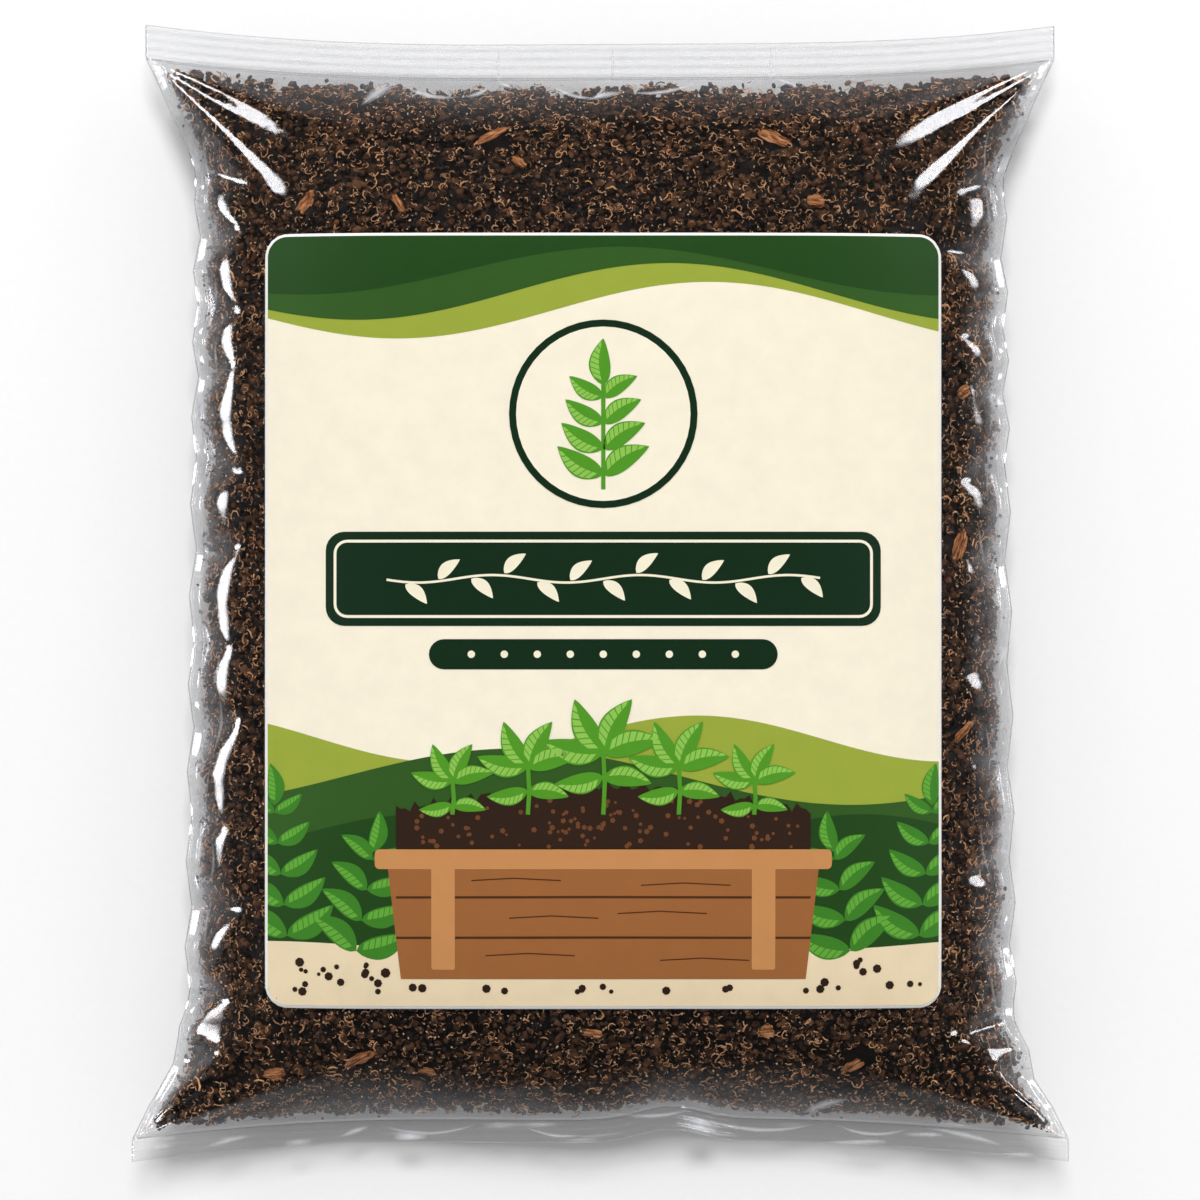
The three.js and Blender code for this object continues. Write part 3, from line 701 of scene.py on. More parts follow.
def scattered_mesh(name, templates, matrices, offsets, tints):
    """One mesh of many loose copies: each copy is a template turned, stretched and moved."""
    all_corners, all_faces, all_tints = [], [], []
    start = 0
    for k, (corners, faces) in enumerate(templates):
        mine = np.arange(k, len(matrices), len(templates))
        placed = np.einsum("nij,vj->nvi", matrices[mine], corners) + offsets[mine][:, None, :]
        count = len(corners)
        all_corners.append(placed.reshape(-1, 3))
        all_faces.append((faces[None] + start + count * np.arange(len(mine))[:, None, None]).reshape(-1, 3))
        all_tints.append(np.repeat(tints[mine], count))
        start += count * len(mine)
    corners, faces, tint = np.concatenate(all_corners), np.concatenate(all_faces), np.concatenate(all_tints)
    corners[:, 2] = np.maximum(corners[:, 2], 0.2)  # pressed flat where the bag rests
    mesh = bpy.data.meshes.new(name)
    mesh.vertices.add(len(corners))
    mesh.vertices.foreach_set("co", (corners * MM).astype(np.float32).ravel())
    mesh.loops.add(faces.size)
    mesh.loops.foreach_set("vertex_index", faces.astype(np.int32).ravel())
    mesh.polygons.add(len(faces))
    mesh.polygons.foreach_set("loop_start", np.arange(0, faces.size, 3, dtype=np.int32))
    mesh.attributes.new("tint", "FLOAT", "POINT").data.foreach_set("value", tint.astype(np.float32))
    mesh.update()
    mesh.validate()
    return mesh


def random_turns(rng, count):
    """Random rotation matrices."""
    q = rng.normal(size=(count, 4))
    q /= np.linalg.norm(q, axis=1, keepdims=True)
    w, x, y, z = q.T
    return np.stack(
        [
            np.stack([1 - 2 * (y * y + z * z), 2 * (x * y - z * w), 2 * (x * z + y * w)], -1),
            np.stack([2 * (x * y + z * w), 1 - 2 * (x * x + z * z), 2 * (y * z - x * w)], -1),
            np.stack([2 * (x * z - y * w), 2 * (y * z + x * w), 1 - 2 * (x * x + y * y)], -1),
        ],
        1,
    )


def turns_on_face(rng, normals):
    """Rotations that lay a flat shape on a face, turned and tilted at random."""
    spin = rng.uniform(0, 2 * np.pi, len(normals))
    start = np.stack([np.cos(spin), np.sin(spin), np.zeros(len(spin))], -1)
    tilted = normals + rng.normal(0, 0.35, normals.shape)
    tilted /= np.linalg.norm(tilted, axis=1, keepdims=True)
    along = start - tilted * np.sum(start * tilted, 1, keepdims=True)
    along /= np.linalg.norm(along, axis=1, keepdims=True)
    return np.stack([along, np.cross(tilted, along), tilted], -1)


class Scatter:
    """Places on one face of the film where loose soil lies against it."""

    stray = 0.05  # share of the density that clings to the film past the edge of the soil
    stray_room = 0.8  # least distance between front and back where it does
    label_overlap = 4  # how far loose soil reaches in under the label

    def __init__(self, face, rng):
        self.bag, self.face, self.rng = form(), face, rng
        self.points = self.bag.sheet(face)
        self.normals = face * self.bag.normals(self.points)
        shown = soil_edge(self.bag, self.points, 1.3 + face)
        self.under_label = np.zeros(shown.shape, bool)
        if face > 0:
            label = bpy.context.scene.soil_bag_label
            inner_x = label.width / MM / 2 - self.label_overlap
            inner_y = label.height / MM / 2 - self.label_overlap
            x, y = self.points[..., 0] - label.place_x / MM, self.points[..., 1] - label.place_y / MM
            self.under_label = (np.abs(x) < inner_x) & (np.abs(y) < inner_y)
            shown &= ~self.under_label
        p = self.points
        cell = np.linalg.norm(np.cross(p[1:, 1:] - p[:-1, :-1], p[1:, :-1] - p[:-1, 1:]), axis=-1) / 2
        self.room = np.linalg.norm(p - self.bag.sheet(-face), axis=-1, keepdims=True)
        roomy = (self.room[1:, 1:, 0] > self.stray_room) & ~self.under_label[1:, 1:]
        self.areas = np.where(shown[1:, 1:] & shown[:-1, :-1], cell, np.where(roomy, self.stray, 0) * cell)

    def places(self, density):
        """Points, outward normals and room between the films at a density per square millimetre."""
        count = int(density * self.areas.sum())
        flat = self.rng.choice(self.areas.size, count, p=(self.areas / self.areas.sum()).ravel())
        r, c = np.unravel_index(flat, self.areas.shape)
        a, b = self.rng.random((2, count, 1))

        def blend(grid):
            low = grid[r, c] * (1 - b) + grid[r, c + 1] * b
            high = grid[r + 1, c] * (1 - b) + grid[r + 1, c + 1] * b
            return low * (1 - a) + high * a

        normal = blend(self.normals)
        normal /= np.linalg.norm(normal, axis=1, keepdims=True)
        return blend(self.points), normal, blend(self.room)[:, 0]


def clear_of_chips(points, spare):
    """Which points lie outside an oval round each bark chip, a little smaller than its box."""
    free = np.ones(len(points), bool)
    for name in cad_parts:
        if name.startswith("bark_chip"):
            low, high = (np.array(corner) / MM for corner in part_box(name))
            middle, half = (low + high) / 2, (high - low) / 2
            away = np.abs((points - middle)[:, :2]) / (half[:2] * 0.82 + spare)
            free &= (away**2).sum(1) > 1
    return free


def depth_behind(tree, points):
    """How far each point lies behind the film, 0 where it lies outside."""
    depths = np.zeros(len(points))
    for i, p in enumerate(points):
        place, normal, _, distance = tree.find_nearest(Vector(p) * MM)
        if (Vector(p) * MM - place).dot(normal) > 0:
            depths[i] = distance / MM
    return depths


def reach_along(matrices, normals, templates):
    """How far each copy reaches along its normal, whichever template it takes."""
    corners = np.concatenate([corners for corners, _ in templates])
    return (np.einsum("nij,ni->nj", matrices, normals) @ corners.T).max(1)


class BAG_OT_crumbs(bpy.types.Operator):
    """Loose crumbs, curled fibres and bright grains against the film"""

    bl_idname = "soil_bag.crumbs"
    bl_label = "Loose soil"

    most = 190000  # triangles in one piece
    back_coarseness = 1.8
    film_gap = 0.1  # least, between a piece that has to shrink and the film
    least_fit = 0.4  # pieces that would have to shrink more than this are left out
    chip_gap = 0.2

    def execute(self, context):
        soil = context.scene.soil_bag_soil
        rng = np.random.default_rng(soil.seed)
        noise.seed_set(soil.seed)
        self.tree = film_inside()
        materials = {
            "crumb": crumb_material("damp_loam_crumbs", soil.dark, soil.light, 0.7),
            "fibre": crumb_material("dry_rootlets", linear("#2c160b"), linear("#f7bd8a"), 2),
            "speck": crumb_material("pale_mineral_grains", linear("#a8683c"), linear("#ffd9b0"), 1),
        }
        for face, place, share in ((1, "front", 1), (-1, "back", soil.back_share)):
            scatter = Scatter(face, rng)
            for kind in materials:
                self.add(kind, place, scatter, getattr(soil, f"{kind}_density") * share, materials[kind])
        return {"FINISHED"}

    def add(self, kind, place, scatter, density, material):
        """One kind of loose piece on one face, each piece sized, turned, tinted and set behind the film."""
        rng = scatter.rng
        soil = bpy.context.scene.soil_bag_soil
        points, normals, room = scatter.places(density)
        count = len(points)
        coarse = 1 if place == "front" else self.back_coarseness
        mean = soil.crumb / MM * coarse
        clearance = soil.clearance / MM
        if kind == "crumb":
            size = np.minimum(mean * rng.lognormal(0, 0.38, count).clip(0.45, 2.1), 0.3 * room)
            spare = rng.random(count) * 0.5
            widths, heights = rng.uniform(0.65, 1, count), rng.uniform(0.5, 0.9, count)
            stretch = np.stack([size, size * widths, size * heights], -1)
            turns = random_turns(rng, count)
            tint = rng.beta(1.4, 3.6, count) * 0.85
        elif kind == "fibre":
            size = np.minimum(rng.lognormal(math.log(0.46), 0.45, count).clip(0.25, 1.6) * coarse, 0.4 * room)
            spare = 0
            stretch = np.stack([size, size * rng.uniform(0.6, 1.5, count), size], -1)
            turns = turns_on_face(rng, normals)
            tint = rng.beta(1.5, 1.25, count)
        else:
            size = rng.uniform(0.12, 0.3, count) * coarse
            spare = 0.1
            stretch = np.repeat(size[:, None], 3, 1)
            turns = random_turns(rng, count)
            tint = rng.uniform(0.15, 1, count)
        matrices = turns * stretch[:, None, :]
        templates = [crumb_template(kind, seed) for seed in range(5)]
        reach = reach_along(matrices, normals, templates)
        points = points - normals * np.minimum(clearance + reach + spare, room / 2)[:, None]
        fit = np.minimum(1, (depth_behind(self.tree, points) - self.film_gap) / reach)
        keep = clear_of_chips(points, self.chip_gap) & (fit > self.least_fit)
        points, matrices, tint = points[keep], (matrices * fit[:, None, None])[keep], tint[keep]
        parts = math.ceil(len(points) * max(len(faces) for _, faces in templates) / self.most)
        for part in range(parts):
            mine = slice(part, None, parts)
            name = f"loam_{kind}s_{place}_{part + 1}"
            mesh = scattered_mesh(name, templates, matrices[mine], points[mine], tint[mine])
            new_object(name, mesh, material, "loam" if kind != "fibre" else "bark")


class BAG_OT_chips(bpy.types.Operator):
    """The larger chips of bark in the face of the soil"""

    bl_idname = "soil_bag.chips"
    bl_label = "Bark chips"

    def execute(self, context):
        material = bark_material()
        tree = film_inside()
        for name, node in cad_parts.items():
            if not name.startswith("bark_chip"):
                continue
            bm = bmesh.new()
            bm.from_mesh(node.data)
            bmesh.ops.remove_doubles(bm, verts=bm.verts, dist=0.01 * MM)
            bmesh.ops.subdivide_edges(bm, edges=bm.edges, cuts=3, use_grid_fill=True)
            bmesh.ops.smooth_vert(
                bm, verts=bm.verts, factor=0.25, use_axis_x=True, use_axis_y=True, use_axis_z=True
            )
            self.roughen(bm)
            self.raise_to_film(bm, tree)
            new_object(f"{name}_rough", to_mesh(bm, name, smooth=False), material, "bark", name)
        return {"FINISHED"}

    gap = 0.25 * MM

    def raise_to_film(self, bm, tree):
        """Moves the chip up until it lies just behind the film."""
        gaps = [tree.find_nearest(vert.co)[3] for vert in bm.verts]
        closest = min(range(len(gaps)), key=gaps.__getitem__)
        bm.verts.ensure_lookup_table()
        near = bm.verts[closest].co
        place = tree.find_nearest(near)[0]
        step = (place - near).normalized() * (gaps[closest] - self.gap)
        bmesh.ops.translate(bm, verts=bm.verts, vec=step)

    def roughen(self, bm):
        """Grooves along the chip and a ragged outline."""
        corners = np.array([v.co[:] for v in bm.verts]) / MM
        middle = corners.mean(0)
        axis = Vector(np.linalg.svd(corners - middle)[2][0])
        bm.normal_update()
        grain = bm.verts.layers.float_vector.new("grain")
        for vert, corner in zip(bm.verts, corners):
            offset = Vector(corner - middle)
            along = offset.dot(axis)
            stretched = offset - axis * along * 0.86
            groove = noise.noise(stretched / 0.45) * 0.4 + noise.noise(offset / 1.6) * 0.3 - 0.12
            vert[grain] = stretched
            vert.co += vert.normal * groove * MM


# Pleats of doubled film along the seals, in mm: start, direction in degrees, length, width and bend
PLEATS = (
    (-51.8, 104.8, 38, 10, 1.5, 0.05), (-43.5, 110.5, -14, 14, 0.7, -0.1), (-29.8, 107, 29, 8, 0.7, -0.1),
    (-22.2, 110.9, -25, 4, 0.8, 0), (-11.3, 110.5, -19, 12, 0.6, -0.1), (-3.3, 106, 13, 9, 0.9, 0.05),
    (5.4, 108, 10, 16.5, 0.6, -0.08), (37, 112, -27, 7, 0.7, 0.05), (-22.2, 110.3, 90, 8.6, 0.4, 0),
    (2.6, 110, 90, 8.8, 0.35, 0), (37, 110.5, 90, 8.5, 0.4, 0), (-86.3, -120.5, 13, 11, 0.9, 0.03),
    (-57.6, -118.7, 20, 8.6, 0.8, 0), (-49.6, -115.5, 2, 25, 0.5, -0.1), (-17, -115.6, -8, 14, 0.5, -0.08),
    (-1.5, -112, 2, 25, 0.6, -0.07), (19.1, -112.9, -3, 32, 0.6, -0.1), (43.5, -112.9, 20, 11, 1.2, 0.05),
    (49, -114.8, -3, 20, 0.5, -0.12), (69.2, -115.9, -13, 20, 0.9, 0.03), (72, -115, -6, 9, 0.5, 0.05),
)


class BAG_OT_pleats(bpy.types.Operator):
    """Small pleats where the film is doubled, along the seals and the side folds"""

    bl_idname = "soil_bag.pleats"
    bl_label = "Film pleats"

    raised = 0.06 * MM
    seal_cloud, side_cloud = 0.5, 0.25
    a_side = 15

    def execute(self, context):
        rng = np.random.default_rng(5)
        bag = form()
        bm = bmesh.new()
        milk = bm.verts.layers.float.new("milk")
        t = np.linspace(0, 1, 15)
        for x, y, angle, length, width, bend, cloud in self.pleats(bag, rng):
            half = width * np.sin(np.pi * t)
            spots = [
                [(*leaf_point(x, y, angle, length, bend, along, side * w), 0) for along, w in zip(t, half)]
                for side in (-1, 0, 1)
            ]
            clouded = cloud * np.outer((0, 1, 0), np.sin(np.pi * t)).ravel()
            for vert, value in zip(sheet_grid(bm, np.array(spots), False), clouded):
                vert[milk] = value
        label = context.scene.soil_bag_label
        bmesh.ops.translate(bm, verts=bm.verts, vec=(-label.place_x, -label.place_y, 0))
        drape(bm, "film_bag_shell", self.raised)
        material = film_material(context.scene.soil_bag_film)
        new_object("film_pleats", to_mesh(bm, "film_pleats"), material, "clear_film")
        return {"FINISHED"}

    def pleats(self, bag, rng):
        """Pleats with their cloudiness: first those of the seals, then faint ones along the side folds."""
        for pleat in PLEATS:
            yield (*pleat, self.seal_cloud)
        for side in (-1, 1):
            for along in np.linspace(0.06, 0.88, self.a_side):
                inward = rng.uniform(1.2, 5)
                x = side * (float(bag.half_width(along)) - bag.crimp_notch - inward)
                y = bag.bottom_line + bag.filled * along
                angle, length = 90 + rng.uniform(-14, 14), rng.uniform(6, 16)
                width, bend = rng.uniform(0.2, 0.5), rng.uniform(-0.08, 0.08)
                yield (x, y, angle, length, width, bend, self.side_cloud)


def surface_tree(name, first=0):
    """A search tree of a piece's faces from the given one on."""
    mesh = bpy.data.objects[name].data
    corners = [v.co[:] for v in mesh.vertices]
    return BVHTree.FromPolygons(corners, [p.vertices[:] for p in mesh.polygons[first:]])


def film_inside():
    """A search tree of the inside of the film."""
    return surface_tree("film_bag_shell", bpy.data.objects["film_bag_shell"]["outer_faces"])


def drape(bm, name, height):
    """Lays every corner, given in the label's own coordinates, over a piece at a height above it."""
    tree = surface_tree(name)
    label = bpy.context.scene.soil_bag_label
    missed = []
    for vert in bm.verts:
        start = Vector((vert.co.x + label.place_x, vert.co.y + label.place_y, 1))
        place, normal, _, _ = tree.ray_cast(start, Vector((0, 0, -1)))
        if place:
            vert.co = place + Vector((0, 0, vert.co.z + height / max(0.6, normal.z)))
        else:
            missed.append(vert)
    bmesh.ops.delete(bm, geom=missed, context="VERTS")


def round_corner(x, y, half_x, half_y, radius):
    """Moves a point of a square-cornered rectangle into the same one with round corners."""
    in_x, in_y = abs(x) - (half_x - radius), abs(y) - (half_y - radius)
    if in_x <= 0 or in_y <= 0:
        return x, y
    a, b = in_x / radius, in_y / radius
    new_x = half_x - radius + radius * a * math.sqrt(1 - b * b / 2)
    new_y = half_y - radius + radius * b * math.sqrt(1 - a * a / 2)
    return math.copysign(new_x, x), math.copysign(new_y, y)


class BAG_OT_label(bpy.types.Operator):
    """The paper label on the front, with rounded corners"""

    bl_idname = "soil_bag.label"
    bl_label = "Paper label"

    cell = 2 * MM

    def execute(self, context):
        label = context.scene.soil_bag_label
        bm = bmesh.new()
        columns, rows = round(label.width / self.cell), round(label.height / self.cell)
        bmesh.ops.create_grid(bm, x_segments=columns, y_segments=rows, size=0.5)
        for vert in bm.verts:
            x, y = vert.co.x * label.width, vert.co.y * label.height
            vert.co.x, vert.co.y = round_corner(x, y, label.width / 2, label.height / 2, label.corner)
        drape(bm, "film_bag_shell", label.gap)
        bottom = bm.faces[:]
        made = bmesh.ops.extrude_face_region(bm, geom=bottom)["geom"]
        top = [item for item in made if isinstance(item, bmesh.types.BMVert)]
        bmesh.ops.translate(bm, verts=top, vec=(0, 0, label.thickness))
        bmesh.ops.recalc_face_normals(bm, faces=bm.faces)
        material = paper_material("coated_label_paper", "#fbfaf6", 0.01)
        new_object("paper_label", to_mesh(bm, "paper_label"), material, "label_paper", "front_label")
        return {"FINISHED"}


def waves(base, swing, length, phase, up):
    """Everything over (up 1) or under (up -1) a wavy line across the label."""
    line = [(x, base + swing * math.sin(x / length + phase)) for x in range(-74, 75, 2)]
    return [line + [(74, up * 90), (-74, up * 90)]]


def disc(x, y, radius, corners=48):
    turns = [2 * math.pi * i / corners for i in range(corners)]
    return [[(x + radius * math.cos(t), y + radius * math.sin(t)) for t in turns]]


def plate(x, y, width, height, radius):
    """A rectangle with round corners."""
    outline = []
    for quarter, (right, up) in enumerate(((1, 1), (-1, 1), (-1, -1), (1, -1))):
        for step in range(7):
            turn = math.pi / 2 * (quarter + step / 6)
            corner_x = x + right * (width / 2 - radius)
            corner_y = y + up * (height / 2 - radius)
            outline.append((corner_x + radius * math.cos(turn), corner_y + radius * math.sin(turn)))
    return [outline]


def stroke(points, width, closed=False):
    """A line of constant width through points, as one quad a step."""
    p = np.array(points, float)
    ahead = np.roll(p, -1, 0) - p if closed else np.gradient(p, axis=0)
    if closed:
        ahead = ahead + p - np.roll(p, 1, 0)
    ahead /= np.linalg.norm(ahead, axis=1, keepdims=True)
    side = np.column_stack([-ahead[:, 1], ahead[:, 0]]) * width / 2
    left, right = p + side, p - side
    count = len(p) if closed else len(p) - 1
    nexts = [(i + 1) % len(p) for i in range(count)]
    return [[tuple(right[i]), tuple(right[j]), tuple(left[j]), tuple(left[i])] for i, j in enumerate(nexts)]


def leaf_point(x, y, angle, length, bend, along, across):
    """A point of a leaf: along its curved midrib and across it."""
    a = math.radians(angle)
    u, v = along * length, bend * length * math.sin(math.pi * along) + across
    return (x + u * math.cos(a) - v * math.sin(a), y + u * math.sin(a) + v * math.cos(a))


def leaf_swell(width, along):
    """Half the width of a leaf at a place along it."""
    return width / 2 * math.sin(math.pi * along**0.8) ** 0.85


def leaf(x, y, angle, length, width, bend=0.08):
    """A pointed leaf that starts at x, y."""
    steps = [i / 14 for i in range(15)]
    swell = [leaf_swell(width, t) for t in steps]
    upper = [leaf_point(x, y, angle, length, bend, t, w) for t, w in zip(steps, swell)]
    lower = [leaf_point(x, y, angle, length, bend, t, -w) for t, w in zip(steps, swell)]
    return [lower + upper[-2:0:-1]]


def half_leaf(x, y, angle, length, width, bend=0.08):
    """The light half of the same leaf, cut in bands between its side veins."""
    bands = []
    for step in range(1, 8):
        band = []
        for t, share in ((step, 0.06), (step + 0.82, 0.06), (step + 1.5, 0.86), (step + 0.68, 0.86)):
            t = min(t / 9, 0.98)
            band.append(leaf_point(x, y, angle, length, bend, t, leaf_swell(share * width, t)))
        bands.append(band)
    return bands


class BAG_OT_print(bpy.types.Operator):
    """The print of the label: a plain garden picture in flat inks, with no lettering"""

    bl_idname = "soil_bag.print"
    bl_label = "Label print"

    cell = 2
    layer = 0.03
    step = 0.004  # between overlapping shapes of one ink
    # Place and size of each seedling
    tops = ((-32, -34, 9), (-16, -31, 11), (0, -28, 13), (16, -31, 11), (32, -34, 9))

    def execute(self, context):
        label = context.scene.soil_bag_label
        rng = np.random.default_rng(11)
        half_x = (label.width / 2 - label.border) / MM
        half_y = (label.height / 2 - label.border) / MM
        self.half, self.corner = (half_x, half_y), (label.corner - label.border) / MM
        sprig, seedlings, bushes = self.sprig(), self.seedlings(), self.bushes()
        crumbs = [disc(x, y, r, 7)[0] for x, y, r in self.loose_crumbs(rng)]
        flecks = [disc(x, y, 0.35 + 0.3 * a, 5)[0] for x, y, a in self.flecks(rng)]
        ring, title_line = disc(0, 44, 20), stroke(plate(0, 9, 114, 16, 2.6)[0], 0.6, True)
        plates = plate(0, 9, 118, 20, 4) + plate(0, -7, 74, 6.4, 3.2)
        rim = plate(0, -50.5, 97, 4.2, 1)
        posts = plate(-34, -63, 5, 22, 0.5) + plate(34, -63, 5, 22, 0.5)
        inks = (
            ("cream_ground", "#f7eed8", 0, [[(-80, -90), (80, -90), (80, 90), (-80, 90)]]),
            ("olive_waves", "#98a63c", 1, waves(66, 6, 21, 0.5, 1) + waves(-25, 5, 17, 0.4, -1)),
            ("mid_green_waves", "#2f541f", 2, waves(70, 6, 21, 0.9, 1) + waves(-33, 6, 23, 2.4, -1)),
            ("dark_green_waves", "#1d4015", 3, waves(74.5, 5, 21, 1.4, 1) + waves(-45, 4, 15, 4.2, -1)),
            ("title_plate", "#0a2512", 4, plates + ring),
            ("garland", "#f3ecd2", 5, self.garland()),
            ("beige_floor", "#ead7b4", 4, waves(-69, 0.8, 12, 1, -1)),
            ("cream_shapes", "#f7eed8", 5, disc(0, 44, 18.5) + title_line),
            ("humus", "#2b1b12", 7, self.heap() + crumbs),
            ("dark_leaves", "#3b7d24", 5, sum((leaf(*item) for item in bushes), [])),
            ("dark_leaf_lights", "#62a63a", 6, sum((half_leaf(*item) for item in bushes), [])),
            ("planter_boards", "#9a6236", 8, [[(-43, -76), (43, -76), (46, -50), (-46, -50)]]),
            ("humus_flecks", "#6b4327", 8, flecks),
            ("leaves", "#4f9424", 9, sum((leaf(*item) for item in sprig + seedlings), []) + self.stems()),
            ("board_gaps", "#4a2a14", 9, self.board_gaps()),
            ("leaf_lights", "#8cc152", 10, sum((half_leaf(*item) for item in sprig + seedlings), [])),
            ("planter_rim", "#c48a55", 10, rim + posts),
        )
        for name, code, level, shapes in inks:
            self.ink(name, code, level, shapes)
        return {"FINISHED"}

    def heap(self):
        """The soil heaped over the planter's rim."""
        top = [(x, self.heap_top(x)) for x in range(-44, 45)]
        return [top + [(44, -52), (-44, -52)]]

    def heap_top(self, x):
        return -40 + 5 * math.cos(x / 28) + 0.7 * math.sin(x * 1.7) + 0.5 * math.sin(x * 3.1)

    def garland(self):
        """A row of leaves along the title plate and beads along the small one."""
        line = [(x, 9 + 0.8 * math.sin(x / 5)) for x in range(-46, 47)]
        shapes = stroke(line, 0.5)
        for i, x in enumerate(range(-42, 43, 7)):
            up = 1 if i % 2 else -1
            shapes += leaf(x, 9 + 0.8 * math.sin(x / 5) + up * 0.5, up * 42, 6.2, 2.6)
        for x in range(-28, 29, 7):
            shapes += disc(x, -7, 0.8, 12)
        return shapes

    def flecks(self, rng):
        """Lighter grains in the heap."""
        x, y, a = rng.uniform(-42, 42, 130), rng.uniform(-48, -37, 130), rng.random(130)
        return [(x, y, a) for x, y, a in zip(x, y, a) if y < -41.5 + 5 * math.cos(x / 28)]

    def loose_crumbs(self, rng):
        """Crumbs on the floor beside the planter."""
        x, y = rng.uniform(-68, 68, 70), rng.uniform(-79, -72, 70)
        return [(x, y, 0.4 + 0.7 * rng.random()) for x, y in zip(x, y) if abs(x) > 46 or y < -77.5]

    def sprig(self):
        """Leaves of the sprig in the medallion."""
        sides = [(0, 31 + 5.5 * i, angle, 11.5 - i, 5 - 0.4 * i) for i in range(4) for angle in (32, 148)]
        return [(0, 50, 90, 10, 4.6)] + sides

    def seedlings(self):
        """Leaves of the five seedlings."""
        leaves = []
        for x, top, size in self.tops:
            leaves += [(x, top, angle, size, size * 0.42) for angle in (12, 168, 62, 118)]
            leaves += [(x, top - 5, angle, size * 0.8, size * 0.34) for angle in (-8, 188)]
        return leaves

    def stems(self):
        stalk = stroke([(0, 28), (0, 39), (0, 51)], 0.9)
        for x, top, _ in self.tops:
            stalk += stroke([(x, -41), (x + 0.3, (top - 41) / 2), (x, top + 0.5)], 0.9)
        return stalk

    def bushes(self):
        """Leaves of the low plants on both sides."""
        one_side = []
        for x, foot, lean, pairs in ((53, -73, 100, 4), (67, -70, 84, 5)):
            for i in range(pairs):
                up = 3 + 6.6 * i
                stem_x = x + up * math.cos(math.radians(lean))
                stem_y = foot + up * math.sin(math.radians(lean))
                size = 12 - 1.2 * i
                one_side += [(stem_x, stem_y, lean + turn, size, size * 0.42) for turn in (-62, 62)]
            one_side.append((stem_x, stem_y + 1.5, lean, 9, 3.8))
        mirrored = [(-x, y, 180 - angle, length, width, -0.08) for x, y, angle, length, width in one_side]
        return one_side + mirrored

    def board_gaps(self):
        """Gaps, grain and nails of the planter's boards."""
        shapes = []
        for y in (-58.6, -67.2):
            shapes += stroke([(-44, y), (0, y + 0.1), (44, y)], 0.5)
        for x, y in ((-28, -55), (8, -56), (-20, -63), (3, -62), (-25, -71), (12, -72)):
            shapes += stroke([(x, y), (x + 9, y + 0.5), (x + 19, y)], 0.25)
        return shapes + [disc(x, y, 0.7, 8)[0] for x in (-34, 34) for y in (-56, -63, -71)]

    def ink(self, name, code, level, shapes):
        """Cuts one ink's shapes along the label's cells, and drapes them."""
        bm = bmesh.new()
        for i, outline in enumerate(shapes):
            height = self.step * (i % 6)
            bm.faces.new([bm.verts.new((x, y, height)) for x, y in outline])
        bm.normal_update()
        bmesh.ops.triangulate(bm, faces=bm.faces)
        self.cut(bm, [(axis, side * self.half[axis]) for axis in (0, 1) for side in (1, -1)], True)
        corners = np.array([v.co[:2] for v in bm.verts])
        lows, highs = corners.min(0), corners.max(0)
        lines = [
            (axis, self.cell * i)
            for axis in (0, 1)
            for i in range(math.ceil(lows[axis] / self.cell), math.floor(highs[axis] / self.cell) + 1)
        ]
        self.cut(bm, lines, False)
        for vert in bm.verts:
            x, y = round_corner(vert.co.x, vert.co.y, *self.half, self.corner)
            vert.co = Vector((x, y, vert.co.z)) * MM
        bmesh.ops.recalc_face_normals(bm, faces=bm.faces)
        drape(bm, "paper_label", self.layer * (level + 1) * MM)
        bm.normal_update()
        down = [face for face in bm.faces if face.normal.z < 0]
        bmesh.ops.reverse_faces(bm, faces=down)
        new_object(f"print_{name}", to_mesh(bm, name), paper_material(f"ink_{name}", code), "label_paper")

    def cut(self, bm, lines, trim):
        """Cuts along straight lines, and drops what lies outside them if trim is set."""
        for axis, place in lines:
            normal = [0, 0, 0]
            normal[axis] = math.copysign(1, place) if trim else 1
            point = [0, 0, 0]
            point[axis] = place
            geometry = bm.verts[:] + bm.edges[:] + bm.faces[:]
            bmesh.ops.bisect_plane(
                bm, geom=geometry, dist=1e-4, plane_co=point, plane_no=normal, clear_outer=trim
            )


